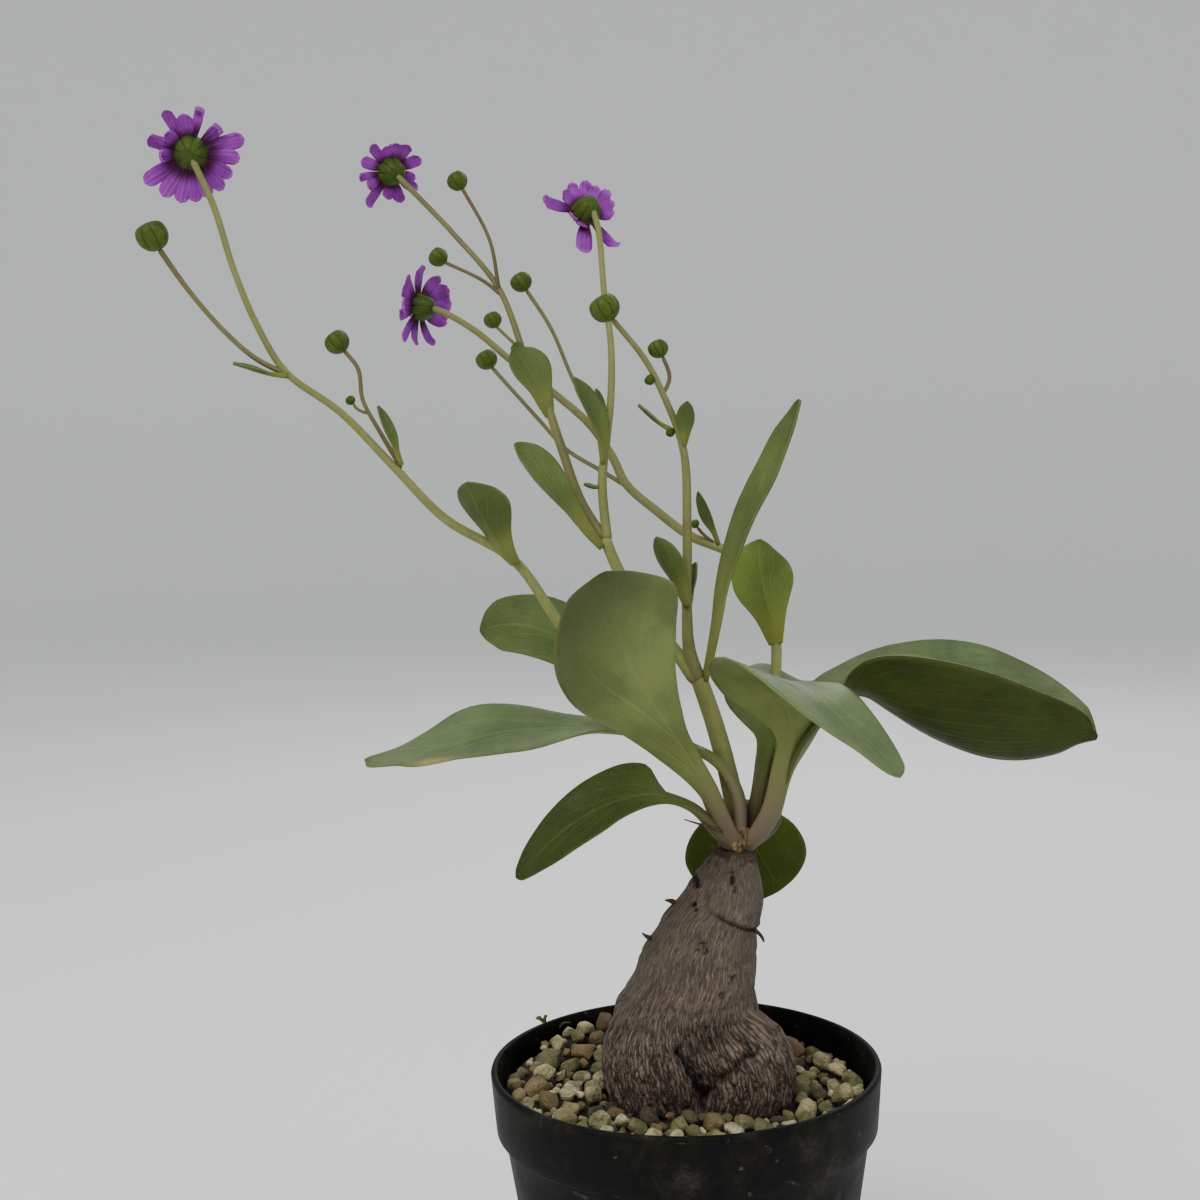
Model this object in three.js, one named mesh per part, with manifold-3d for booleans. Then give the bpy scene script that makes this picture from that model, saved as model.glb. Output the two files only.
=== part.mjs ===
// Potted Othonna rosea: a swollen caudex in a gravel-topped nursery pot, with fleshy leaves,
// three branching flower stems and four open blooms. Millimetres, +Z up, front towards -Y.
// The origin is the centre of the pot's underside.
import * as THREE from 'three';
import { mergeVertices } from 'three/addons/utils/BufferGeometryUtils.js';
import Module from 'manifold-3d';

const wasm = await Module();
wasm.setup();

// Driving dimensions
const gap = 0.3;
const potHeight = 90;
const potRimRadius = 52.5;
const potFootRadius = 38;
const potWall = 1.4;
const rimBandHeight = 17;
const rimBandStep = 2;
const slitCount = 8;
const slitWidth = 2.2;
const slitTop = 62;
const slitInnerRadius = 31;
const slitTurn = THREE.MathUtils.degToRad(-40);
const soilTop = 80;
const soilTilt = [-0.012, -0.02];
const stoneSize = [3, 4.6];
const stoneSpacing = 9.7;
const crownCentre = [15.5, 0, 150.5];
const crownRadii = [6.6, 6.2, 7];
const bladeThickness = 1.3;
const stalkThickness = 3.4;
const rayThickness = 0.7;
const cupRadius = 4.2;
const cupHeight = 4.6;
const cupSink = 1.2;

const colours = {
  pot: [0x25272b, 0.45],
  soil: [0x8f8059, 0.95],
  caudex: [0x74685c, 0.9],
  crown: [0x96704a, 0.95],
  leaf: [0x5f7341, 0.55],
  darkLeaf: [0x43581f, 0.55],
  stem: [0x82873c, 0.5],
  bloom: [0x914bab, 0.7],
};

// Repeatable random numbers from 0 to 1
function seededRandom(seed) {
  let state = seed;
  return () => {
    state = (state * 1664525 + 1013904223) % 4294967296;
    return state / 4294967296;
  };
}

const vector = (p) => new THREE.Vector3(p[0], p[1], p[2]);
const lerp = THREE.MathUtils.lerp;
const curveOf = (points) => new THREE.CatmullRomCurve3(points.map(vector), false, 'centripetal');

// Value at t of a list of rows [t, value, ...], smooth between rows
function rowValue(rows, t, column = 1) {
  let i = 0;
  while (i < rows.length - 2 && t > rows[i + 1][0]) i += 1;
  const [from, to] = [rows[i], rows[i + 1]];
  const share = THREE.MathUtils.clamp((t - from[0]) / (to[0] - from[0]), 0, 1);
  const before = rows[Math.max(i - 1, 0)];
  const after = rows[Math.min(i + 2, rows.length - 1)];
  const slopeFrom = (to[column] - before[column]) / (to[0] - before[0] || 1);
  const slopeTo = (after[column] - from[column]) / (after[0] - from[0] || 1);
  const span = to[0] - from[0];
  const s2 = share * share;
  const s3 = s2 * share;
  return (2 * s3 - 3 * s2 + 1) * from[column] + (s3 - 2 * s2 + share) * span * slopeFrom
    + (3 * s2 - 2 * s3) * to[column] + (s3 - s2) * span * slopeTo;
}

// A closed three.js geometry with shared vertices, each vertex moved by a rule
function shaped(geometry, move) {
  geometry.deleteAttribute('normal');
  geometry.deleteAttribute('uv');
  const merged = mergeVertices(geometry, 1e-4);
  const position = merged.getAttribute('position');
  const point = new THREE.Vector3();
  for (let i = 0; i < position.count; i += 1) {
    point.fromBufferAttribute(position, i);
    move(point, i);
    position.setXYZ(i, point.x, point.y, point.z);
  }
  return merged;
}

function solidOf(geometry) {
  return new wasm.Manifold(new wasm.Mesh({
    numProp: 3,
    vertProperties: new Float32Array(geometry.getAttribute('position').array),
    triVerts: new Uint32Array(geometry.index.array),
  }));
}

function geometryOf(solid) {
  const mesh = solid.getMesh();
  const geometry = new THREE.BufferGeometry();
  geometry.setAttribute('position', new THREE.BufferAttribute(new Float32Array(mesh.vertProperties), 3));
  geometry.setIndex(new THREE.BufferAttribute(new Uint32Array(mesh.triVerts), 1));
  return geometry;
}

const joined = (solids) => solids.reduce((sum, next) => sum.add(next));

// What is left of a solid once its neighbours are taken off, without loose scraps
function carved(solid, neighbours) {
  const cut = neighbours.reduce((rest, next) => rest.subtract(next), solid);
  return cut.decompose().reduce((best, next) => (next.volume() > best.volume() ? next : best));
}

const group = new THREE.Group();

function addPart(name, solid, [colour, roughness]) {
  const material = new THREE.MeshStandardMaterial({ color: colour, roughness, metalness: 0 });
  const mesh = new THREE.Mesh(geometryOf(solid), material);
  mesh.name = name;
  group.add(mesh);
}

// A round stem along a curve, its radius running through the given values
function tube(points, radii, { sides = 7, steps = 4 * (points.length - 1), grow = 0 } = {}) {
  const curve = curveOf(points);
  const frames = curve.computeFrenetFrames(steps);
  const rows = radii.map((r, i) => [i / (radii.length - 1), r]);
  return solidOf(shaped(new THREE.CylinderGeometry(1, 1, 1, sides, steps), (p) => {
    const t = p.y + 0.5;
    const step = Math.round(t * steps);
    const radius = rowValue(rows, t) + grow;
    const [x, z] = [p.x * radius, p.z * radius];
    p.copy(curve.getPointAt(t));
    p.addScaledVector(frames.binormals[step], x);
    p.addScaledVector(frames.normals[step], z);
  }));
}

// The middle line, sideways and upper directions of a blade at t
function bladeFrame(curve, faces, t) {
  const along = curve.getTangentAt(t);
  const upper = faces.getPoint(t);
  upper.addScaledVector(along, -upper.dot(along)).normalize();
  const side = new THREE.Vector3().crossVectors(along, upper);
  return { middle: curve.getPointAt(t), side, upper };
}

// A fleshy leaf with its stalk. outline rows are [t, left, right] half widths; fold lifts the
// margins, wave ripples them, and both faces share the same diagonals.
function leaf({ rib, faces, outline, fold = 15, wave = 0, thick = bladeThickness, stalk = stalkThickness },
  { across = 4, along = 13, grow = 0 } = {}) {
  const curve = curveOf(rib);
  const faceCurve = new THREE.CatmullRomCurve3(faces.map(vector));
  const foldAngle = THREE.MathUtils.degToRad(fold);
  const sheet = new THREE.PlaneGeometry(2, 1, across, along);
  const index = Array.from(sheet.index.array);
  const grid = sheet.getAttribute('position');
  const positions = [];
  for (const face of [1, -1]) {
    for (let i = 0; i < grid.count; i += 1) {
      const x = grid.getX(i);
      const row = grid.getY(i) + 0.5;
      const t = row < 0.5 ? row : 0.5 + 0.5 * Math.sin((row - 0.5) * Math.PI);
      const { middle, side, upper } = bladeFrame(curve, faceCurve, t);
      const half = Math.max(rowValue(outline, t, x < 0 ? 1 : 2), 0.4) + grow;
      const bladeShare = THREE.MathUtils.smoothstep(t, 0.08, 0.42);
      const edge = 0.31 + grow;
      const core = lerp(stalk, thick, bladeShare) / 2 + grow;
      const depth = edge + (core - edge) * Math.pow(Math.max(1 - x * x, 0), lerp(0.5, 0.7, bladeShare));
      const angle = foldAngle * bladeShare;
      const lift = half * Math.sin(angle) * Math.pow(Math.abs(x), 1.5)
        + wave * bladeShare * x * x * Math.sin(t * 17 + (x > 0 ? 1.4 : 0));
      middle.addScaledVector(side, x * half * Math.cos(angle));
      middle.addScaledVector(upper, lift + face * depth);
      positions.push(middle.x, middle.y, middle.z);
    }
  }
  const count = grid.count;
  const triangles = index.slice();
  for (let i = 0; i < index.length; i += 3) {
    triangles.push(index[i] + count, index[i + 2] + count, index[i + 1] + count);
  }
  const rim = [];
  for (let i = 0; i < across; i += 1) rim.push(i);
  for (let i = 0; i < along; i += 1) rim.push(i * (across + 1) + across);
  for (let i = across; i > 0; i -= 1) rim.push(along * (across + 1) + i);
  for (let i = along; i > 0; i -= 1) rim.push(i * (across + 1));
  rim.forEach((a, i) => {
    const b = rim[(i + 1) % rim.length];
    triangles.push(a, b, b + count, a, b + count, a + count);
  });
  const geometry = new THREE.BufferGeometry();
  geometry.setAttribute('position', new THREE.Float32BufferAttribute(positions, 3));
  geometry.setIndex(triangles);
  return solidOf(geometry);
}

// A small leaf or bract from its foot to its tip, with a plain pointed oval outline
function bract(rib, face, halfWidth, { widest = 0.55, thick = 0.9, fold = 20, across = 2, along = 6 } = {}) {
  const outline = [
    [0, halfWidth * 0.22, halfWidth * 0.22],
    [widest * 0.45, halfWidth * 0.5, halfWidth * 0.5],
    [widest, halfWidth, halfWidth],
    [lerp(widest, 1, 0.62), halfWidth * 0.78, halfWidth * 0.78],
    [1, halfWidth * 0.14, halfWidth * 0.14],
  ];
  return leaf({ rib, faces: [face, face], outline, fold, thick, stalk: 1.5 }, { across, along });
}

// Turns a form built along +Z to point along a direction, then puts it in place
function placed(geometry, at, direction) {
  const turn = new THREE.Quaternion().setFromUnitVectors(new THREE.Vector3(0, 0, 1), vector(direction).normalize());
  geometry.applyQuaternion(turn);
  geometry.translate(at[0], at[1], at[2]);
  return solidOf(geometry);
}

// A round flower bud with eight shallow ribs, its foot at the given place
function bud(foot, direction, radius, stretch = 1.05) {
  const geometry = shaped(new THREE.SphereGeometry(1, 8, 5), (p) => {
    const turn = Math.atan2(p.z, p.x);
    const flat = Math.hypot(p.x, p.z);
    const ribs = 1 + 0.05 * Math.cos(4 * turn) * flat;
    const height = p.y;
    p.set(p.x * radius * ribs, -p.z * radius * ribs, (height + 0.93) * radius * stretch);
  });
  return placed(geometry, foot, direction);
}

// The green cup of bracts that a bloom sits in, its foot on the end of the stem
function flowerCup(foot, direction) {
  const geometry = shaped(new THREE.CylinderGeometry(1, 1, 1, 16, 2), (p) => {
    const t = p.y + 0.5;
    const flat = Math.hypot(p.x, p.z);
    const turn = Math.atan2(p.z, p.x);
    const swell = lerp(0.3, 1, Math.sqrt(t)) * (1 + 0.05 * Math.cos(8 * turn) * t);
    const radius = cupRadius * swell * flat;
    p.set(Math.cos(turn) * radius, -Math.sin(turn) * radius, t * cupHeight - cupSink);
  });
  return placed(geometry, foot, direction);
}

// One ray petal, standing out from the disc and bent back, squared and notched at its end
function ray(turn, length, width, bend, twist) {
  const sheet = new THREE.PlaneGeometry(2, 1, 2, 2);
  const grid = sheet.getAttribute('position');
  const index = Array.from(sheet.index.array);
  const positions = [];
  for (const face of [1, -1]) {
    for (let i = 0; i < grid.count; i += 1) {
      const x = grid.getX(i);
      const t = grid.getY(i) + 0.5;
      const reach = 3.1 + (length - 0.9) * t * (x === 0 && t === 1 ? 0.93 : 1);
      const half = width * lerp(0.45, 1, Math.sqrt(t));
      const drop = bend * t * t + twist * x * t;
      const point = new THREE.Vector3(reach * Math.cos(bend * t * 0.06), -x * half, 1.2 - drop + face * rayThickness / 2);
      point.applyAxisAngle(new THREE.Vector3(0, 0, 1), turn);
      positions.push(point.x, point.y, point.z);
    }
  }
  const count = grid.count;
  const triangles = index.slice();
  for (let i = 0; i < index.length; i += 3) {
    triangles.push(index[i] + count, index[i + 2] + count, index[i + 1] + count);
  }
  const rim = [0, 1, 2, 5, 8, 7, 6, 3];
  rim.forEach((a, i) => {
    const b = rim[(i + 1) % rim.length];
    triangles.push(a, b, b + count, a, b + count, a + count);
  });
  const geometry = new THREE.BufferGeometry();
  geometry.setAttribute('position', new THREE.Float32BufferAttribute(positions, 3));
  geometry.setIndex(triangles);
  return geometry;
}

// An open bloom: a low domed disc with florets, and rays all round it
function bloom(foot, direction, rayCount, rayLength, seed) {
  const random = seededRandom(seed);
  const forward = vector(direction).normalize();
  const seat = vector(foot).addScaledVector(forward, cupHeight - cupSink + gap);
  const at = [seat.x, seat.y, seat.z];
  const disc = shaped(new THREE.CylinderGeometry(3.6, 3.8, 3, 10, 1), (p) => {
    const dome = p.y > 1 ? 0.8 * (1 - Math.hypot(p.x, p.z) / 3.6) : 0;
    p.set(p.x, -p.z, p.y + 1.5 + dome);
  });
  const pieces = [placed(disc, at, direction)];
  for (let i = 0; i < rayCount; i += 1) {
    const turn = (i + 0.3 * (random() - 0.5)) * 2 * Math.PI / rayCount;
    const length = rayLength * lerp(0.85, 1.08, random());
    const petal = ray(turn, length, lerp(1.35, 1.75, random()), lerp(0.5, 4, random()), lerp(-1, 1, random()));
    pieces.push(placed(petal, at, direction));
  }
  for (let i = 0; i < 4; i += 1) {
    const turn = i * 2.4;
    const reach = 1.05 * Math.sqrt(i);
    const floret = shaped(new THREE.CylinderGeometry(0.6, 0.45, 2, 4), (p) => {
      p.set(p.x + reach * Math.cos(turn), -p.z + reach * Math.sin(turn), p.y + 4);
    });
    pieces.push(placed(floret, at, direction));
  }
  return joined(pieces);
}

// Pot: one turned wall with a rim band, cut by slits that run over the edge of the foot
const wallTop = potHeight - rimBandHeight;
const wallTopRadius = potRimRadius - rimBandStep - 1.2;

function potWallRadius(z) {
  return lerp(potFootRadius, wallTopRadius, z / wallTop);
}

function potSolid() {
  const bandInner = potRimRadius - potWall - 0.4;
  const profile = [
    [0, 0], [potFootRadius - 1, 0], [potFootRadius, 1], [wallTopRadius, wallTop],
    [potRimRadius - 1.2, wallTop + 0.8], [potRimRadius, potHeight - 1.2], [potRimRadius - 0.5, potHeight],
    [bandInner, potHeight], [bandInner - 0.7, wallTop + 2], [wallTopRadius - potWall, wallTop - 1],
    [potFootRadius - potWall, 2], [0, 2],
  ].map(([r, z]) => new THREE.Vector2(r, z));
  const body = solidOf(shaped(new THREE.LatheGeometry(profile, 36), (p) => p.set(p.x, -p.z, p.y)));
  const outline = new THREE.Shape([
    [-slitWidth / 2, -2], [slitWidth / 2, -2], [slitWidth / 2, slitTop - 3], [0, slitTop], [-slitWidth / 2, slitTop - 3],
  ].map(([x, y]) => new THREE.Vector2(x, y)));
  const slits = [];
  for (let i = 0; i < slitCount; i += 1) {
    const slit = new THREE.ExtrudeGeometry(outline, { depth: 30, bevelEnabled: false });
    slit.translate(0, 0, slitInnerRadius);
    slit.rotateX(Math.PI / 2);
    slit.rotateZ(slitTurn + i * 2 * Math.PI / slitCount);
    slits.push(solidOf(shaped(slit, () => {})));
  }
  return body.subtract(joined(slits));
}

// Caudex: rows [z, x, half width] of the leaning trunk from its buried end to its top
const caudexRows = [
  [58, 2, 6], [62, 3, 12], [70, 3.5, 19], [80, 4, 21.5], [90, 3.6, 22], [98, 1.8, 21], [104, 1, 19.2],
  [109, 1.8, 17.2], [114, 3.6, 16.4], [120, 4.6, 15.5], [125.5, 6.4, 13.6], [127, 7, 13.2], [129, 7.6, 13.4],
  [135, 11, 11.2], [140, 12.4, 9.6], [145, 13.8, 7], [148.5, 14.2, 5.6],
];
const caudexBase = caudexRows[0][0];
const caudexTop = caudexRows[caudexRows.length - 1][0];

// Two root lobes [centre, radii] that swell from the foot of the trunk
const rootLobes = [
  [[-6.5, -3, 84], [16.5, 17, 21]],
  [[15, -6.5, 84], [14.5, 14, 16.5]],
  [[6, 10, 84], [17, 12, 18]],
];

function caudexSolid(grow) {
  const trunk = shaped(new THREE.CylinderGeometry(1, 1, 1, 20, 15), (p) => {
    const z = lerp(caudexBase - grow, caudexTop + grow, p.y + 0.5);
    const turn = Math.atan2(p.z, p.x);
    const flat = Math.hypot(p.x, p.z);
    const rows = caudexRows;
    const low = THREE.MathUtils.smoothstep(112 - z, 0, 14);
    const lumps = 0.3 * Math.sin(3 * turn + z * 0.09) + 0.35 * Math.cos(5 * turn - z * 0.05);
    const radius = (rowValue(rows, z, 2) * (1 - 0.1 * low) + lumps + grow) * flat;
    const depth = lerp(0.94, 0.84, low);
    p.set(rowValue(rows, z, 1) + Math.cos(turn) * radius, -Math.sin(turn) * radius * depth, z);
  });
  const lobes = rootLobes.map(([centre, radii]) => {
    const lobe = shaped(new THREE.SphereGeometry(1, 14, 8), (p) => {
      const [x, y, z] = [p.x, -p.z, p.y];
      const ripple = 1 + 0.02 * Math.cos(6 * Math.atan2(y, x) + centre[0]);
      p.set(
        centre[0] + x * (radii[0] + grow) * ripple,
        centre[1] + y * (radii[1] + grow) * ripple,
        centre[2] + z * (radii[2] + grow),
      );
    });
    return solidOf(lobe);
  });
  return joined([solidOf(trunk), ...lobes]);
}

function soilSolid() {
  const random = seededRandom(11);
  const clearance = gap + 0.1;
  const inner = (z) => potWallRadius(z) - potWall - clearance - 0.5;
  const topRadius = potRimRadius - potWall - 0.4 - 0.7 - clearance - 1.2;
  const surface = (x, y) => soilTilt[0] * x + soilTilt[1] * y;
  const profile = [
    [0, 2 + gap], [inner(2) - 0.6, 2 + gap], [inner(wallTop - 1) - 0.3, wallTop - 1],
    [topRadius, wallTop + 3], [topRadius, soilTop], [topRadius * 0.5, soilTop], [0, soilTop],
  ].map(([r, z]) => new THREE.Vector2(r, z));
  const pieces = [solidOf(shaped(new THREE.LatheGeometry(profile, 28), (p) => {
    const [x, y] = [p.x, -p.z];
    p.set(x, y, p.y + (p.y > wallTop + 4 ? surface(x, y) : 0));
  }))];
  const stoneCount = Math.floor(Math.PI * topRadius ** 2 / stoneSpacing ** 2);
  for (let i = 0; i < stoneCount; i += 1) {
    const size = lerp(stoneSize[0], stoneSize[1], random());
    const reach = (topRadius - size - 0.3) * Math.sqrt((i + 0.5) / stoneCount);
    const turn = i * Math.PI * (3 - Math.sqrt(5)) + 0.3 * random();
    const [x, y] = [reach * Math.cos(turn), reach * Math.sin(turn)];
    const stone = new THREE.IcosahedronGeometry(1, 0);
    stone.rotateX(random() * 6);
    stone.rotateZ(random() * 6);
    stone.scale(size * lerp(0.85, 1.1, random()), size * lerp(0.8, 1.05, random()), size * lerp(0.7, 0.95, random()));
    stone.rotateZ(random() * 6);
    stone.translate(x, y, soilTop + surface(x, y) + size * lerp(0.15, 0.6, random()));
    pieces.push(solidOf(shaped(stone, () => {})));
  }
  return carved(joined(pieces), [caudexSolid(gap)]);
}

function crownSolid(grow) {
  const geometry = shaped(new THREE.SphereGeometry(1, 12, 8), (p) => {
    const turn = Math.atan2(p.z, p.x);
    const ripple = 1 + 0.05 * Math.cos(5 * turn + 7 * p.y);
    p.set(
      crownCentre[0] + p.x * (crownRadii[0] * ripple + grow),
      crownCentre[1] - p.z * (crownRadii[1] * ripple + grow),
      crownCentre[2] + p.y * (crownRadii[2] + grow),
    );
  });
  return solidOf(geometry);
}

// Basal leaves, each from its foot on the crown to its tip
const leaves = {
  leaf_centre: {
    rib: [[12.5, -5, 154], [6, -10, 169], [-2.5, -15, 184], [-11, -21, 199], [-16, -26, 213], [-18, -28, 223]],
    faces: [[0.2, 0.9, 0.3], [0, 0.95, 0.3]],
    outline: [[0, 2.6, 2.6], [0.2, 2.2, 2.8], [0.4, 2.4, 9], [0.54, 6, 12], [0.66, 9.8, 17.4], [0.78, 14.2, 18.2],
      [0.88, 16.5, 14], [0.96, 14, 8.5], [1, 8, 2]],
    fold: 14,
  },
  leaf_left_long: {
    rib: [[12, 3, 154], [9.5, 6, 168], [0, 8, 175], [-22, 6, 180], [-45, 5, 180], [-66, 4, 176], [-84, 4, 173.5]],
    faces: [[0.8, -0.3, 0.4], [0, -0.28, 0.95]],
    outline: [[0, 2.4, 2.4], [0.15, 2.2, 2.2], [0.27, 3.2, 3.2], [0.45, 8, 7], [0.6, 13, 11], [0.76, 15, 11],
      [0.86, 17, 8.5], [0.93, 9, 5], [1, 1.5, 2]],
    fold: 12,
    wave: 0.8,
  },
  leaf_left_low: {
    rib: [[10, -3, 153], [3, -8.5, 161], [-8, -13, 165], [-19, -16, 163.5], [-30, -18, 158], [-38, -18, 151],
      [-43, -17, 145.5]],
    faces: [[0.5, -0.2, 0.8], [0, -0.5, 0.86]],
    outline: [[0, 2.2, 2.2], [0.2, 2.4, 2], [0.33, 4, 3.5], [0.42, 5.5, 9.5], [0.5, 7.5, 8.5], [0.65, 9.5, 7.5],
      [0.8, 9, 5.5], [0.92, 5.5, 3.6], [1, 1.5, 1.5]],
    fold: 12,
  },
  leaf_left_back: {
    rib: [[11, 4, 154], [4, 9, 170], [-6, 13, 182], [-18, 20, 194], [-32, 27, 203], [-45, 32, 206.5], [-54, 33, 205]],
    faces: [[0.5, -0.7, 0.4], [0.2, -0.75, 0.6]],
    outline: [[0, 2.2, 2.2], [0.2, 2, 2], [0.4, 4, 4], [0.6, 9, 9], [0.8, 12.5, 11], [0.93, 10, 8], [1, 2.5, 2.5]],
  },
  leaf_right_front: {
    rib: [[19.5, -4, 154], [22.5, -2.5, 168], [23.5, -3, 180], [23.5, -7, 188], [25, -15, 191.5], [31, -25, 189],
      [40.5, -34, 182], [51, -41, 174.5]],
    faces: [[-0.3, 0.9, 0.2], [0.1, 0.4, 0.9], [0.42, -0.2, 0.85], [0.46, -0.25, 0.85]],
    outline: [[0, 2.6, 2.6], [0.2, 2.2, 2.2], [0.34, 2.5, 3], [0.41, 4.5, 9], [0.48, 9.5, 17], [0.58, 11.5, 16],
      [0.7, 11.5, 13], [0.83, 9, 9], [0.94, 5, 5], [1, 1.5, 1.5]],
    fold: 8,
  },
  leaf_right_large: {
    rib: [[20.5, -1, 153], [25.5, -1.5, 162], [30, -2, 171], [35, -2.5, 181], [40, -3, 188.5], [46, -3, 190],
      [54, -3, 184.5], [66, -2.5, 177], [82, -3, 172], [97, -5, 172.5], [109, -7, 177]],
    faces: [[-0.9, 0, 0.4], [-0.1, -0.1, 1]],
    outline: [[0, 2.8, 2.8], [0.09, 3.2, 3.2], [0.18, 4.6, 4.6], [0.235, 7, 7], [0.3, 8.5, 8.5], [0.36, 10, 10],
      [0.42, 15, 15], [0.5, 23, 23], [0.62, 29, 29], [0.77, 28.5, 28.5], [0.9, 21, 21], [0.97, 13, 13], [1, 6, 6]],
    fold: 57,
    wave: 0.5,
  },
  leaf_right_back: {
    rib: [[19, 4, 154], [24.5, 10, 164], [29.5, 17, 176], [34, 26, 184.5], [40, 32, 186.5], [47, 36, 184]],
    faces: [[0, -0.9, 0.3], [-0.2, -0.2, 1]],
    outline: [[0, 2.2, 2.2], [0.25, 2, 2], [0.45, 4.5, 4.5], [0.65, 9.5, 9.5], [0.85, 10, 10], [0.96, 5, 5], [1, 2, 2]],
  },
  leaf_low_back: {
    rib: [[15, 5, 149], [15.5, 12, 155], [17, 20, 156], [19, 26, 149], [20, 28.5, 140], [20.5, 29, 131], [21, 28, 125]],
    faces: [[0, -0.5, 1], [0, 1, 0.3]],
    outline: [[0, 2.4, 2.4], [0.2, 2.2, 2.2], [0.4, 6, 6], [0.6, 15, 15], [0.75, 17.5, 17.5], [0.88, 14, 14],
      [0.96, 8, 8], [1, 3, 3]],
    fold: 6,
  },
};

// Flower stems: each tube is [points, radii]
const leftStem = {
  axis: [[[12, -1, 154], [5, 1.5, 169.5], [-1, 3, 178], [-20, 7, 196.5], [-30, 7, 208], [-42, 6, 226], [-60, 3, 238],
    [-72, 0, 251.3], [-85.5, -4, 266.5], [-98.5, -8, 277], [-104.8, -11.5, 289], [-109.6, -14, 303],
    [-113.2, -16.5, 318], [-118, -19, 330.5]], [2, 1.7, 1.5, 1.35, 1.1, 1, 1.1]],
  twigs: [
    [[[-97.5, -7.5, 276], [-105.5, -11, 280.5], [-112.5, -15.5, 287.5], [-120, -19.5, 297.5], [-126, -23, 307.5]], [0.95, 0.8, 0.9]],
    [[[-70.5, 0, 251.5], [-76.5, 1, 262], [-80.5, 2, 270], [-81.5, 3, 278], [-85.5, 4, 283.5]], [0.9, 0.75, 0.7, 0.75]],
    [[[-78.6, 1.6, 266], [-82, 2.5, 267.5], [-83.5, 3, 269.5]], [0.5, 0.5]],
  ],
  buds: [
    [[-125.8, -22.8, 307], [-0.35, -0.3, 0.9], 3.9],
    [[-85.2, 4, 283], [-0.6, 0.1, 0.8], 3.2],
    [[-83.2, 3, 269], [-0.6, 0.2, 0.8], 1.3],
  ],
  bracts: [
    [[[-41.8, 4.5, 225.5], [-46, 1, 232], [-50, -4, 240], [-53, -8, 247.5]], [0.4, 0.7, 0.5], 8.2, { widest: 0.66 }],
    [[[-98, -8.5, 276], [-104, -11, 277], [-111, -12.5, 279.5]], [0, -0.2, 1], 1.7, {}],
    [[[-70.5, -1, 252.5], [-73, -2.5, 260], [-76, -3, 268]], [0.7, -0.6, 0.2], 1.9, {}],
  ],
};

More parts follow.
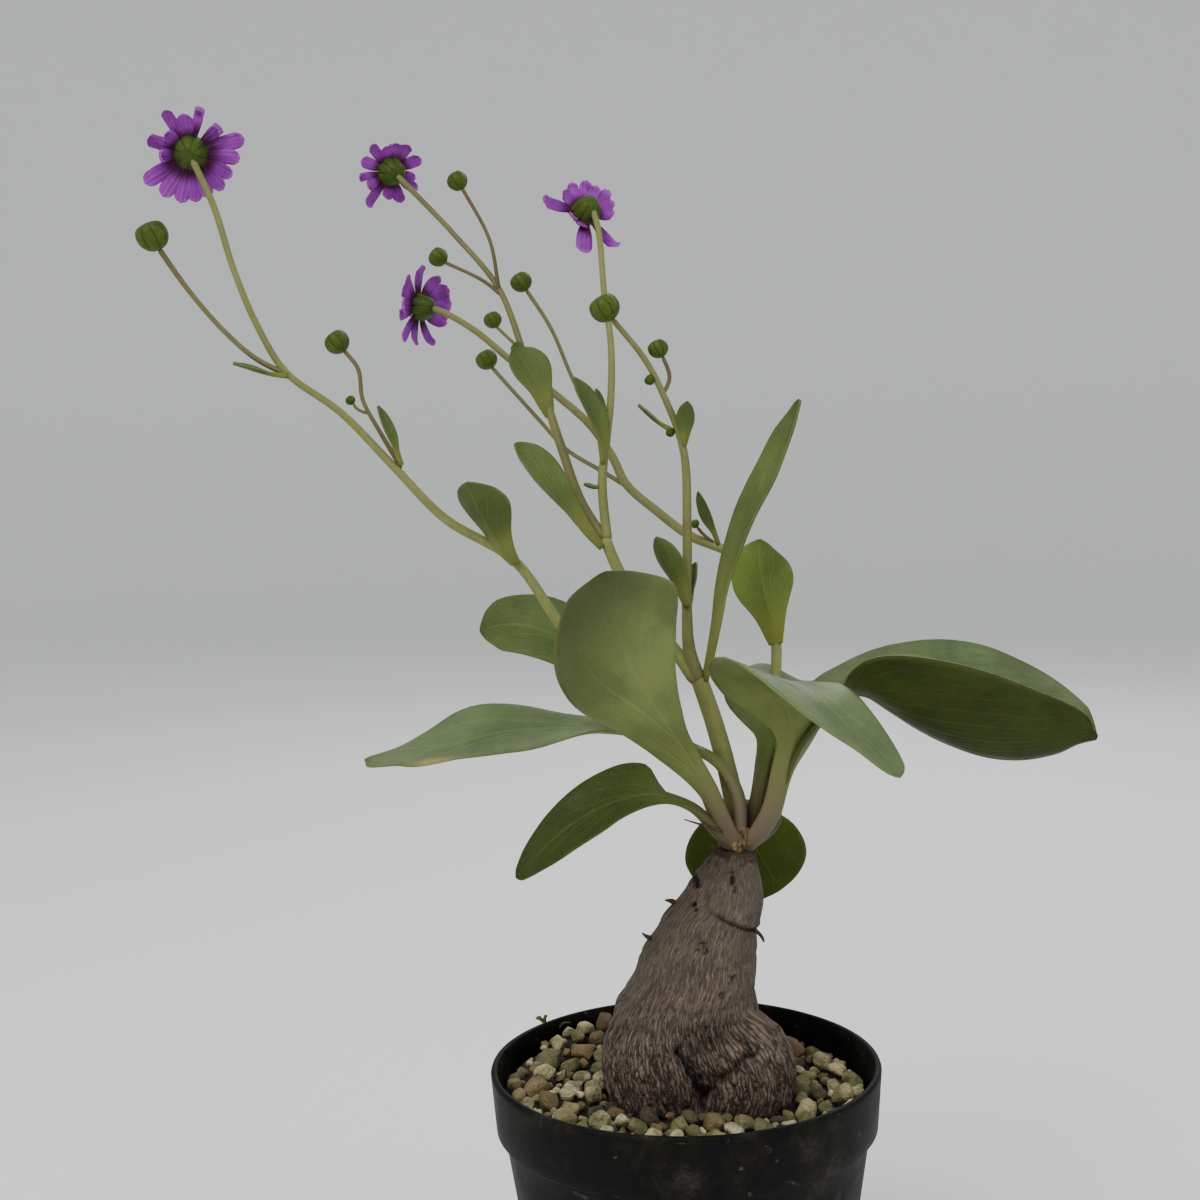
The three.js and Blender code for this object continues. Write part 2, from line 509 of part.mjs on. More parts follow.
const centreStem = {
  axis: [[[16, 2.5, 154], [13.5, 4, 168], [10, 4, 182], [6, 4, 194.5]], [2.95, 2.7, 2.45]],
  twigs: [
    [[[6.5, 4, 192], [-0.5, 5, 202], [-7.5, 7, 211.5], [-14, 9, 222], [-18, 11, 232]], [1.9, 1.8, 1.7]],
    [[[-17, 10.5, 230], [-18, 14, 246], [-16.5, 17.5, 258], [-15, 20.5, 269], [-14.5, 24, 284], [-16, 28, 299.5],
      [-17, 30.5, 316], [-19, 32, 324]], [1.5, 1.3, 1.2, 1.05, 1.05]],
    [[[-17.5, 11, 230.5], [-24, 16, 241.5], [-29.5, 23, 258], [-33, 29, 269], [-38, 36, 280], [-46, 46, 302.5],
      [-59, 54, 319.5], [-76.2, 59.5, 338.5]], [1.5, 1.4, 1.2, 1, 1]],
    [[[-46, 45.5, 301.5], [-48.5, 48, 317], [-56.3, 50, 332.7]], [0.8, 0.65, 0.7]],
    [[[-45, 45, 300.5], [-51, 48, 305.5], [-62.5, 52, 311.7]], [0.8, 0.65, 0.7]],
    [[[-40, 38.5, 284.5], [-43.5, 40, 288], [-47.3, 41, 291.8]], [0.6, 0.6]],
    [[[6.5, 4, 192], [4, 3, 201], [3.5, 1, 212.5], [4, 0, 233.5], [3.5, 0, 254.5], [-1.5, -1, 269], [-6, -2, 278],
      [-14.6, -4, 289]], [1.7, 1.4, 1.3, 1.2, 1, 0.9]],
    [[[-2, -1, 268], [0.4, 1, 273.5], [-1.4, 2, 279.5]], [0.7, 0.65]],
  ],
  buds: [
    [[-56, 50, 332.2], [-0.5, 0.2, 0.8], 2.9],
    [[-62, 52, 311.4], [-0.75, 0.2, 0.65], 2.8],
    [[-47, 41, 291.4], [-0.4, 0.2, 0.9], 2.5],
    [[-40, 37.8, 283.8], [-0.6, -0.4, 0.7], 1.8],
    [[-14.4, -3.9, 288.5], [-0.5, -0.15, 0.85], 4],
    [[-1.4, 2, 279], [-0.4, 0.2, 0.9], 2.6],
    [[-4, -1.5, 272], [-0.7, -0.3, 0.6], 1.4],
    [[1, 0, 258.5], [-0.8, -0.5, 0.5], 1.2],
  ],
  bracts: [
    [[[8, 3, 193], [11.5, 2.5, 208], [15, 3, 221], [20.5, 4, 234], [27.5, 4.5, 247.5], [32.5, 5.5, 259], [35, 6, 267]],
      [-0.85, -0.35, 0.4], 7.2, { widest: 0.66, fold: 22, across: 4, along: 10, thick: 1.1 }],
    [[[-18.5, 9.5, 229], [-25, 7.5, 237], [-32, 6, 246], [-41, 5, 257.5]], [0.4, -0.6, 0.6], 6.2, { widest: 0.7 }],
    [[[-17.5, 15, 251], [-18, 14, 260], [-21, 14, 267.5], [-25, 15, 275]], [0.6, -0.7, 0.3], 3.8, {}],
    [[[-32, 27.5, 265], [-34, 27, 270.5], [-37.5, 28, 278], [-41.5, 30, 284.5]], [0.3, -0.8, 0.4], 6.2, { widest: 0.62 }],
    [[[-31.5, 28, 266.5], [-31.8, 31, 274], [-32.6, 34, 281.5]], [-0.7, 0.4, 0.3], 1.6, {}],
    [[[3.5, -0.5, 213], [1, -3, 220], [-2.5, -5, 227], [-4.5, -6, 232]], [0.4, 0.7, 0.5], 4.2, { widest: 0.62 }],
    [[[4, 1.5, 213], [5.5, 3, 219], [6.5, 4, 224.5]], [-0.8, -0.4, 0.4], 3, {}],
    [[[3.8, -1, 255.5], [4.2, -3, 261], [4.6, -4, 267]], [-0.2, 0.8, 0.4], 2.7, {}],
    [[[0.6, -0.5, 259.5], [-4, -2, 262.5], [-8, -3, 266.5]], [0.3, -0.2, 0.9], 1.3, {}],
    [[[-15.6, 19.4, 265], [-17.5, 18.8, 268.5], [-19, 18.5, 272]], [0.7, -0.6, 0.2], 1.1, {}],
    [[[-18, 13.5, 245.5], [-20.5, 13, 245.2], [-23, 12.5, 246]], [0, -0.3, 0.9], 1.1, {}],
  ],
};

const rightStem = {
  axis: [[[20, 3.5, 154], [24, 6, 166], [26, 9, 175], [28, 14, 191], [28.8, 18, 201.5], [28, 20.5, 209.5], [25, 24, 218],
    [18.5, 27, 225], [6.5, 32, 230.5], [-3, 37, 238], [-11, 41, 245.5], [-15, 44, 254], [-21, 48, 263],
    [-30.5, 54, 272], [-44.5, 61, 283.5], [-54, 65.5, 292], [-63, 69.5, 298], [-68.5, 72, 300.5]],
  [1.9, 1.6, 1.5, 1.4, 1.3, 1.1, 1]],
  twigs: [
    [[[-9.5, 40.5, 244], [-18, 44.5, 249.5], [-28, 49, 256], [-35.5, 53, 264.5], [-50, 58, 281.5]], [0.9, 0.8, 0.75, 0.75]],
    [[[-15.5, 44.3, 254.5], [-25.5, 44, 276], [-31.5, 44, 291], [-38.5, 44.5, 302.5]], [0.85, 0.75, 0.7, 0.75]],
    [[[14.5, 28.8, 227.3], [10, 28.5, 231], [8, 28, 233.5]], [0.6, 0.6]],
  ],
  buds: [
    [[-49.7, 58, 281], [-0.5, 0.1, 0.85], 3.1],
    [[-38.2, 44.5, 302], [-0.5, 0.1, 0.85], 3],
    [[8.3, 28, 233], [-0.5, -0.1, 0.8], 1.3],
  ],
  bracts: [
    [[[28.6, 17, 200.5], [27.4, 17.8, 208], [25.6, 19.5, 217], [24.8, 20.5, 224], [25.3, 21, 229.5]], [0.1, 0.9, 0.4], 8.8,
      { widest: 0.58, across: 4, along: 8, fold: 14 }],
    [[[14.3, 28, 228], [12, 26.5, 234], [8.5, 25, 243]], [-0.6, -0.6, 0.5], 2, {}],
  ],
};

// Blooms: the stem and its tube that ends in the green cup, the way the face looks, number and length of rays
const blooms = {
  bloom_left: { stem: leftStem, tube: leftStem.axis, look: [-0.15, 0.95, 0.25], rays: 14, length: 11.3 },
  bloom_back: { stem: centreStem, tube: centreStem.twigs[2], look: [-0.4, 0.85, 0.3], rays: 12, length: 9 },
  bloom_top: { stem: centreStem, tube: centreStem.twigs[1], look: [-0.35, 0.75, -0.5], rays: 11, length: 10.2 },
  bloom_low: { stem: rightStem, tube: rightStem.axis, look: [-0.88, 0.45, 0.08], rays: 13, length: 11.5 },
};

const stemEnd = ({ tube: [points] }) => points[points.length - 1];

function stemSolid(stem, grow = 0) {
  const pieces = [stem.axis, ...stem.twigs].map(([points, radii], i) => tube(points, radii, { sides: i ? 5 : 7, grow,
    steps: Math.max(3, Math.round(points.length * 1.3)) }));
  stem.buds.forEach(([foot, direction, radius]) => pieces.push(bud(foot, direction, radius + grow)));
  stem.bracts.forEach(([rib, face, half, options]) => pieces.push(bract(rib, face, half + grow, options)));
  Object.values(blooms).filter((one) => one.stem === stem)
    .forEach((one) => pieces.push(flowerCup(stemEnd(one), one.look)));
  return joined(pieces);
}

const lowerStem = ({ axis: [points, radii] }) => tube(points.slice(0, 5), [radii[0], radii[1], radii[1]], { grow: gap });

addPart('pot', potSolid(), colours.pot);
addPart('soil_gravel', soilSolid(), colours.soil);
addPart('caudex', caudexSolid(0), colours.caudex);
addPart('crown', carved(crownSolid(0), [caudexSolid(gap)]), colours.crown);

// Stalks and stems crowd on the crown: each one is cut back clear of the crown and of those before it
const grownCrown = crownSolid(gap);
const stems = { stem_centre: centreStem, stem_left: leftStem, stem_right: rightStem };
const before = [grownCrown];
for (const [name, stem] of Object.entries(stems)) {
  addPart(name, carved(stemSolid(stem), before), colours.stem);
  before.push(lowerStem(stem));
}
for (const [name, spec] of Object.entries(leaves)) {
  const colour = name.includes('back') || name.includes('large') ? colours.darkLeaf : colours.leaf;
  addPart(name, carved(leaf(spec), before), colour);
  before.push(leaf(spec, { grow: gap }));
}
Object.entries(blooms).forEach(([name, one], i) => {
  const open = bloom(stemEnd(one), one.look, one.rays, one.length, 21 + i);
  addPart(name, carved(open, [stemSolid(one.stem, gap)]), colours.bloom);
});

export default group;
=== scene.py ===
import bisect
import math
import random

import bmesh
import bpy
from mathutils import Euler, Matrix, Vector, noise


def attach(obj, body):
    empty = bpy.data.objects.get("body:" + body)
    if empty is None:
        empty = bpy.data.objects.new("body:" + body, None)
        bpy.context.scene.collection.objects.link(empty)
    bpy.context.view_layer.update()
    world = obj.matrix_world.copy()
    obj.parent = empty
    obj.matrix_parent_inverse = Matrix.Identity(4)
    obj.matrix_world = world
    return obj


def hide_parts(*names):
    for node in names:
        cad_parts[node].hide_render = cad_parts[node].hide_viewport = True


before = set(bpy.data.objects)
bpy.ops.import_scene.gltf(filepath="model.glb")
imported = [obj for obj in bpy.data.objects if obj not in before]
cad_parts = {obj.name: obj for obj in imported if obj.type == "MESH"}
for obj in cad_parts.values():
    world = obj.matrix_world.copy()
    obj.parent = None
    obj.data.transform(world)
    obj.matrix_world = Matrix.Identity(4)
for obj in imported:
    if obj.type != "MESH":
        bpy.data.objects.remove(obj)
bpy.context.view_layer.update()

# A flowering caudex plant in a slit nursery pot. Shape values are in millimetres, and each piece
# is brought to metres as it is finished. The front faces -Y and the pot stands on Z = 0.

# ---- camera

cameraView = {
    "spot": (-0.0195, -0.43501, 0.24914),
    "pitchDown": 4.43,
    "roll": -1.61,
    "fieldOfView": 40.0,
}


def makeCamera(view):
    data = bpy.data.cameras.new("camera")
    data.sensor_width = 36
    data.lens = 18 / math.tan(math.radians(view["fieldOfView"] / 2))
    data.clip_start = 0.01
    camera = bpy.data.objects.new("camera", data)
    turn = Matrix.Rotation(math.radians(90 - view["pitchDown"]), 4, "X")
    turn = turn @ Matrix.Rotation(math.radians(view["roll"]), 4, "Z")
    camera.matrix_world = Matrix.Translation(view["spot"]) @ turn
    bpy.context.scene.collection.objects.link(camera)
    bpy.context.scene.camera = camera


makeCamera(cameraView)
print("camera placed")


# ---- shape helpers

def smoothstep(x, low, high):  # 0 at low and 1 at high, either way round
    x = min(max((x - low) / (high - low), 0), 1)
    return x * x * (3 - 2 * x)


def mix(a, b, share):
    return a + (b - a) * share


def rowValue(rows, t, column=1):  # value at t of rows (t, value, ...), smooth between rows
    i = 0
    while i < len(rows) - 2 and t > rows[i + 1][0]:
        i += 1
    start, end = rows[i], rows[i + 1]
    before, after = rows[max(i - 1, 0)], rows[min(i + 2, len(rows) - 1)]
    span = end[0] - start[0]
    s = min(max((t - start[0]) / span, 0), 1)
    leave = (end[column] - before[column]) / (end[0] - before[0]) * span
    arrive = (after[column] - start[column]) / (after[0] - start[0]) * span
    return ((2 * s ** 3 - 3 * s ** 2 + 1) * start[column] + (s ** 3 - 2 * s ** 2 + s) * leave
            + (3 * s ** 2 - 2 * s ** 3) * end[column] + (s ** 3 - s ** 2) * arrive)


def smoothPath(points, perSpan=14):  # fine line through the points, with its length so far at each step
    knots = [Vector(p) for p in points]
    knots = [2 * knots[0] - knots[1], *knots, 2 * knots[-1] - knots[-2]]
    line = []
    for before, start, end, after in zip(knots, knots[1:], knots[2:], knots[3:]):
        d0, d1, d2 = (math.sqrt((b - a).length) for a, b in ((before, start), (start, end), (end, after)))
        leave = ((start - before) / d0 - (end - before) / (d0 + d1) + (end - start) / d1) * d1
        arrive = ((end - start) / d1 - (after - start) / (d1 + d2) + (after - end) / d2) * d1
        for step in range(perSpan):
            s = step / perSpan
            line.append((2 * s ** 3 - 3 * s ** 2 + 1) * start + (s ** 3 - 2 * s ** 2 + s) * leave
                        + (3 * s ** 2 - 2 * s ** 3) * end + (s ** 3 - s ** 2) * arrive)
    line.append(knots[-2])
    reach = [0.0]
    for a, b in zip(line, line[1:]):
        reach.append(reach[-1] + (b - a).length)
    return line, reach


def pathPoint(path, t):  # place at share t of a path's length
    line, reach = path
    goal = min(max(t, 0), 1) * reach[-1]
    i = min(max(bisect.bisect_right(reach, goal) - 1, 0), len(line) - 2)
    return line[i].lerp(line[i + 1], (goal - reach[i]) / (reach[i + 1] - reach[i]))


def pathWay(path, t):
    return (pathPoint(path, t + 0.015) - pathPoint(path, t - 0.015)).normalized()


def newShape():  # a bmesh with the layers that the materials read
    bm = bmesh.new()
    bm.loops.layers.uv.new("flow")
    bm.verts.layers.float.new("tone")
    bm.verts.layers.float.new("dark")
    bm.verts.layers.float.new("under")
    bm.verts.layers.float_vector.new("grain")
    return bm


def finishPiece(bm, name, nodes, material, smooth=True):
    bmesh.ops.recalc_face_normals(bm, faces=bm.faces)
    bmesh.ops.scale(bm, vec=(0.001, 0.001, 0.001), verts=bm.verts)
    mesh = bpy.data.meshes.new(name)
    bm.to_mesh(mesh)
    bm.free()
    mesh.materials.append(material)
    if smooth:
        mesh.shade_smooth()
    piece = bpy.data.objects.new(name, mesh)
    bpy.context.scene.collection.objects.link(piece)
    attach(piece, "root")
    if nodes:
        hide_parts(*nodes)
    print(name, "made,", len(mesh.polygons), "faces")
    return piece


def wrapGrid(bm, columns, rows, place, tone=0.0, weld=True):
    # a grid whose corners go to place(u, v), u and v from 0 to 1; closed where corners meet
    flow = bm.loops.layers.uv["flow"]
    toneLayer = bm.verts.layers.float["tone"]
    verts = bmesh.ops.create_grid(bm, x_segments=columns, y_segments=rows, size=0.5)["verts"]
    for face in {f for v in verts for f in v.link_faces}:
        for loop in face.loops:
            loop[flow].uv = (loop.vert.co.x + 0.5, loop.vert.co.y + 0.5)
    for v in verts:
        u, w = v.co.x + 0.5, v.co.y + 0.5
        v[toneLayer] = tone(w) if callable(tone) else tone
        v.co = place(u, w)
    if weld:
        bmesh.ops.remove_doubles(bm, verts=verts, dist=0.002)
    return [v for v in verts if v.is_valid]


def addTube(bm, points, radii, tone=0.0, sides=12, perMm=0.8, rough=0.03):
    # a round stalk, closed and rounded at both ends
    path = smoothPath(points)
    rows = [(i / (len(radii) - 1), r) for i, r in enumerate(radii)]
    steps = max(6, round(path[1][-1] * perMm))
    frames = []
    side = pathWay(path, 0).orthogonal().normalized()
    for step in range(steps + 1):
        t = step / steps
        way = pathWay(path, t)
        side = (side - way * side.dot(way)).normalized()
        frames.append((pathPoint(path, t), side.copy(), way.cross(side)))
    length = path[1][-1]

    def place(u, v):
        middle, across, up = frames[round(v * steps)]
        fromEnd = min(v, 1 - v) * length
        radius = rowValue(rows, v)
        radius *= math.sqrt(max(1 - (1 - min(fromEnd / radius, 1)) ** 2, 0))
        turn = 2 * math.pi * u
        out = across * math.cos(turn) + up * math.sin(turn)
        lump = 1 + rough * noise.noise(middle * 0.35 + out * 0.8)
        return middle + out * radius * lump

    return wrapGrid(bm, sides, steps, place, tone)


def lineAt(line, t):  # value at share t of a list of vectors
    place = t * (len(line) - 1)
    i = max(min(int(place), len(line) - 2), 0)
    return line[i].lerp(line[min(i + 1, len(line) - 1)], place - i)


def twoSkins(bm, across, along):  # flat upper and lower grids, joined round the edge
    flow = bm.loops.layers.uv["flow"]
    upper = bmesh.ops.create_grid(bm, x_segments=across, y_segments=along, size=0.5)["verts"]
    skin = list({f for v in upper for f in v.link_faces})
    copies = bmesh.ops.duplicate(bm, geom=skin)["geom"]
    lower = [g for g in copies if isinstance(g, bmesh.types.BMVert)]
    lowerSkin = [g for g in copies if isinstance(g, bmesh.types.BMFace)]
    bmesh.ops.translate(bm, vec=(0, 0, -0.001), verts=lower)
    bmesh.ops.reverse_faces(bm, faces=lowerSkin)
    rim = [e for e in {e for f in skin + lowerSkin for e in f.edges} if e.is_boundary]
    bmesh.ops.bridge_loops(bm, edges=rim)
    for face in {f for v in upper + lower for f in v.link_faces}:
        for loop in face.loops:
            loop[flow].uv = (loop.vert.co.x + 0.5, loop.vert.co.y + 0.5)
    return upper + lower


def addBlade(bm, blade, across=22, along=60, tone=0.0):
    # a fleshy leaf with its stalk: an upper and a lower skin, joined round the margin
    path = smoothPath(blade["rib"])
    looks = blade["faces"]
    looks = smoothPath(looks)[0] if len(looks) > 2 else [Vector(look) for look in looks]
    fold, wave = math.radians(blade.get("fold", 15)), blade.get("wave", 0)
    thick, stalk = blade.get("thick", 1.3), blade.get("stalk", 3.4)
    edge, keel = blade.get("edge", 0.26), blade.get("keel", 0.35)
    outline = blade["outline"]
    cap = 1 - max((outline[-1][1] + outline[-1][2]) / 2, 0.8) / path[1][-1]  # the tip rounds off from here
    under, toneLayer, dark = (bm.verts.layers.float[name] for name in ("under", "tone", "dark"))
    verts = twoSkins(bm, across, along)
    frames = {}
    for v in verts:
        x, row, side = v.co.x * 2, v.co.y + 0.5, 1 if v.co.z > -0.0005 else -1
        key = round(row * along)
        if key not in frames:
            t = row if row < 0.5 else 0.5 + 0.5 * math.sin((row - 0.5) * math.pi)
            way = pathWay(path, t)
            face = lineAt(looks, t)
            face = (face - way * face.dot(way)).normalized()
            frames[key] = (t, pathPoint(path, t), way.cross(face), face)
        t, middle, sideways, up = frames[key]
        half = max(rowValue(outline, t, 1 if x < 0 else 2), 0.4)
        half *= math.sqrt(max(1 - (max(t - cap, 0) / (1 - cap)) ** 2, 0.01))
        bladeShare = smoothstep(t, 0.08, 0.42)
        core = mix(stalk, thick, bladeShare) / 2
        depth = edge + (core - edge) * max(1 - x * x, 0) ** mix(0.5, 0.7, bladeShare)
        angle = fold * bladeShare
        lift = half * math.sin(angle) * abs(x) ** 1.5
        lift += wave * bladeShare * x * x * math.sin(17 * t + (1.4 if x > 0 else 0))
        ridge = math.exp(-(x * half / 1.1) ** 2) * bladeShare * (1 - t) ** 0.5
        depth += ridge * (keel if side < 0 else -0.12)
        spot = middle + sideways * (x * half * math.cos(angle)) + up * lift
        ripple = noise.noise(spot * 0.09) * 0.5 * bladeShare
        v.co = spot + up * (side * depth + ripple)
        v[under] = 0.0 if side > 0 else 1.0
        # painted shade: the blade darkens towards its tip, as much as its deep value says
        v[dark] = blade.get("deep", 0) * smoothstep(t + 0.12 * x, 0.6, 1)
        v[toneLayer] = tone
        for place, reach in blade.get("dry", []):
            v[toneLayer] = max(v[toneLayer], smoothstep((v.co - Vector(place)).length + ripple * 6, reach, reach * 0.5))
    return verts


def addTrough(bm, blade, across=28, along=96, thick=1.3, stalk=3.2, edge=0.3):
    # a folded leaf: its skins run from the near margin under the keel to the far margin
    near, keel, far = (smoothPath(blade[line])[0] for line in ("near", "keel", "far"))
    cap = 0.972

    def spot(x, t):
        t = min(max(t, 0), 1)
        low, sides = lineAt(keel, t), (lineAt(far, t), lineAt(near, t))
        reach = (sides[0] if x < 0 else sides[1]) - low
        reach *= math.sqrt(max(1 - (max(t - cap, 0) / (1 - cap)) ** 2, 0.01))
        out = low - (sides[0] + sides[1]) / 2
        out = (out - reach * out.dot(reach) / reach.length_squared).normalized()
        share = abs(x)
        belly = blade["belly"] * math.sin(math.pi * share ** 0.8) * smoothstep(t, 0.3, 0.5)
        ripple = 0.5 * noise.noise(low * 0.08 + Vector((x * 3, 0, 0))) * smoothstep(t, 0.4, 0.6)
        return low + reach * share + out * (belly * reach.length + ripple)

    under = bm.verts.layers.float["under"]
    verts = twoSkins(bm, across, along)
    for v in verts:
        x, t, side = v.co.x * 2, v.co.y + 0.5, 1 if v.co.z > -0.0005 else -1
        t = t if t < 0.5 else 0.5 + 0.5 * math.sin((t - 0.5) * math.pi)
        place = spot(x, t)
        along3 = spot(x, t + 0.004) - spot(x, t - 0.004)
        across3 = spot(min(x + 0.04, 1), t) - spot(max(x - 0.04, -1), t)
        up = across3.cross(along3).normalized()
        bladeShare = smoothstep(t, 0.3, 0.46)
        core = mix(stalk, thick, bladeShare) / 2
        depth = edge + (core - edge) * max(1 - x * x, 0) ** 0.7
        depth += math.exp(-(x * 12) ** 2) * bladeShare * (1 - t) ** 0.5 * (0.3 if side < 0 else -0.1)
        v.co = place + up * side * depth
        v[under] = 0.0 if side > 0 else 1.0
    return verts


def aim(verts, bm, spot, way):  # turns a form built along +Z to point along way, and sets it in place
    turn = Vector((0, 0, 1)).rotation_difference(Vector(way)).to_matrix()
    bmesh.ops.rotate(bm, cent=(0, 0, 0), matrix=turn, verts=verts)
    bmesh.ops.translate(bm, vec=spot, verts=verts)


# ---- materials: node groups that several finishes share

def addNode(tree, kind, inputs=None, **settings):
    node = tree.nodes.new(kind)
    for key, value in settings.items():
        setattr(node, key, value)
    for name, value in (inputs or {}).items():
        if isinstance(value, bpy.types.NodeSocket):
            tree.links.new(value, node.inputs[name])
        else:
            node.inputs[name].default_value = value
    return node


def compute(tree, operation, *values):
    return addNode(tree, "ShaderNodeMath", dict(enumerate(values)), operation=operation).outputs[0]


def spread(tree, value, low, high, toLow=0.0, toHigh=1.0):  # eases a value from one span to another
    inputs = {"Value": value, "From Min": low, "From Max": high, "To Min": toLow, "To Max": toHigh}
    return addNode(tree, "ShaderNodeMapRange", inputs, interpolation_type="SMOOTHSTEP").outputs[0]


def blendColour(tree, share, first, second, mode="MIX"):
    node = addNode(tree, "ShaderNodeMix", {0: share, 6: first, 7: second}, data_type="RGBA", blend_type=mode)
    return node.outputs[2]


def rgb(red, green, blue):  # a colour as seen on screen, 0 to 255, in Blender's linear values
    return tuple(c / 12.92 if c <= 0.04045 else ((c + 0.055) / 1.055) ** 2.4
                 for c in (red / 255, green / 255, blue / 255)) + (1.0,)


def newGroup(name, inputs, outputs):
    group = bpy.data.node_groups.new(name, "ShaderNodeTree")
    for socket, kind, value in inputs:
        made = group.interface.new_socket(socket, in_out="INPUT", socket_type=kind)
        if value is not None:
            made.default_value = value
    for socket, kind in outputs:
        group.interface.new_socket(socket, in_out="OUTPUT", socket_type=kind)
    return group, group.nodes.new("NodeGroupInput").outputs, group.nodes.new("NodeGroupOutput").inputs


def useGroup(tree, group, inputs):
    node = tree.nodes.new("ShaderNodeGroup")
    node.node_tree = group
    for name, value in inputs.items():
        if isinstance(value, bpy.types.NodeSocket):
            tree.links.new(value, node.inputs[name])
        else:
            node.inputs[name].default_value = value
    return node.outputs


def makePatchGroup():  # slow and fine colour change over a surface
    group, given, result = newGroup("colourPatches", [
        ("Vector", "NodeSocketVector", None), ("Colour", "NodeSocketColor", None),
        ("Second", "NodeSocketColor", None), ("Scale", "NodeSocketFloat", 60.0),
        ("Amount", "NodeSocketFloat", 0.5), ("Speckle", "NodeSocketFloat", 0.1)],
        [("Colour", "NodeSocketColor"), ("Mask", "NodeSocketFloat")])
    slow = addNode(group, "ShaderNodeTexNoise", {"Vector": given["Vector"], "Scale": given["Scale"], "Detail": 4.0,
                                                 "Roughness": 0.6})
    patches = spread(group, slow.outputs[0], 0.36, 0.66)
    fineScale = compute(group, "MULTIPLY", given["Scale"], 14.0)
    fine = addNode(group, "ShaderNodeTexNoise", {"Vector": given["Vector"], "Scale": fineScale, "Detail": 3.0})
    share = compute(group, "MULTIPLY", patches, given["Amount"])
    colour = blendColour(group, share, given["Colour"], given["Second"])
    grain = compute(group, "MULTIPLY", compute(group, "SUBTRACT", fine.outputs[0], 0.5), given["Speckle"])
    value = compute(group, "ADD", 1.0, compute(group, "MULTIPLY", grain, 2.0))
    shade = addNode(group, "ShaderNodeHueSaturation", {"Value": value, "Color": colour})
    group.links.new(shade.outputs[0], result["Colour"])
    group.links.new(patches, result["Mask"])
    return group


def makeVeinGroup():  # midrib, side veins and fine net of a leaf, from its flow UV
    group, given, result = newGroup("leafVeins", [
        ("Vector", "NodeSocketVector", None), ("Count", "NodeSocketFloat", 9.0),
        ("Slant", "NodeSocketFloat", 0.4), ("Wander", "NodeSocketFloat", 0.05)],
        [("Veins", "NodeSocketFloat"), ("Net", "NodeSocketFloat"), ("Margin", "NodeSocketFloat"),
         ("Along", "NodeSocketFloat")])
    parts = addNode(group, "ShaderNodeSeparateXYZ", {0: given["Vector"]}).outputs
    offset = compute(group, "SUBTRACT", parts[0], 0.5)
    across = compute(group, "MULTIPLY", compute(group, "ABSOLUTE", offset), 2.0)
    rightSide = compute(group, "MULTIPLY", compute(group, "GREATER_THAN", offset, 0.0), 0.47)
    lean = compute(group, "MULTIPLY", compute(group, "POWER", across, 0.75), given["Slant"])
    stir = addNode(group, "ShaderNodeTexNoise", {"Vector": given["Vector"], "Scale": 5.0, "Detail": 2.0})
    drift = compute(group, "MULTIPLY", compute(group, "SUBTRACT", stir.outputs[0], 0.5),
                    compute(group, "MULTIPLY", given["Wander"], compute(group, "ADD", across, 0.3)))
    start = compute(group, "ADD", compute(group, "SUBTRACT", parts[1], lean), compute(group, "MULTIPLY", drift, 2.0))
    phase = compute(group, "ADD", compute(group, "MULTIPLY", start, given["Count"]), rightSide)
    wavePart = compute(group, "MULTIPLY", compute(group, "ABSOLUTE", compute(
        group, "SUBTRACT", compute(group, "FRACT", phase), 0.5)), 2.0)
    sideVein = compute(group, "MULTIPLY", spread(group, wavePart, 0.8, 1.0), spread(group, across, 1.0, 0.25, 0.15, 1.0))
    secondPhase = compute(group, "ADD", compute(group, "MULTIPLY", phase, 2.6), compute(group, "MULTIPLY", across, -1.5))
    secondWave = compute(group, "MULTIPLY", compute(group, "ABSOLUTE", compute(
        group, "SUBTRACT", compute(group, "FRACT", secondPhase), 0.5)), 2.0)
    second = compute(group, "MULTIPLY", spread(group, secondWave, 0.72, 1.0), 0.35)
    midrib = spread(group, across, 0.075, 0.0)
    veins = compute(group, "MAXIMUM", compute(group, "MAXIMUM", sideVein, second), midrib)
    veins = compute(group, "MULTIPLY", veins, spread(group, parts[1], 0.2, 0.38))
    stretched = addNode(group, "ShaderNodeMapping", {"Vector": given["Vector"], "Scale": (22.0, 46.0, 1.0)})
    warped = addNode(group, "ShaderNodeTexNoise", {"Vector": stretched.outputs[0], "Scale": 0.6, "Detail": 1.0})
    moved = addNode(group, "ShaderNodeVectorMath", {0: stretched.outputs[0], 1: warped.outputs[1]}, operation="ADD")
    cells = addNode(group, "ShaderNodeTexVoronoi", {"Vector": moved.outputs[0], "Scale": 0.8},
                    feature="DISTANCE_TO_EDGE")
    net = spread(group, cells.outputs[0], 0.12, 0.0)
    group.links.new(veins, result["Veins"])
    group.links.new(net, result["Net"])
    group.links.new(spread(group, across, 0.93, 0.99), result["Margin"])
    group.links.new(parts[1], result["Along"])
    return group


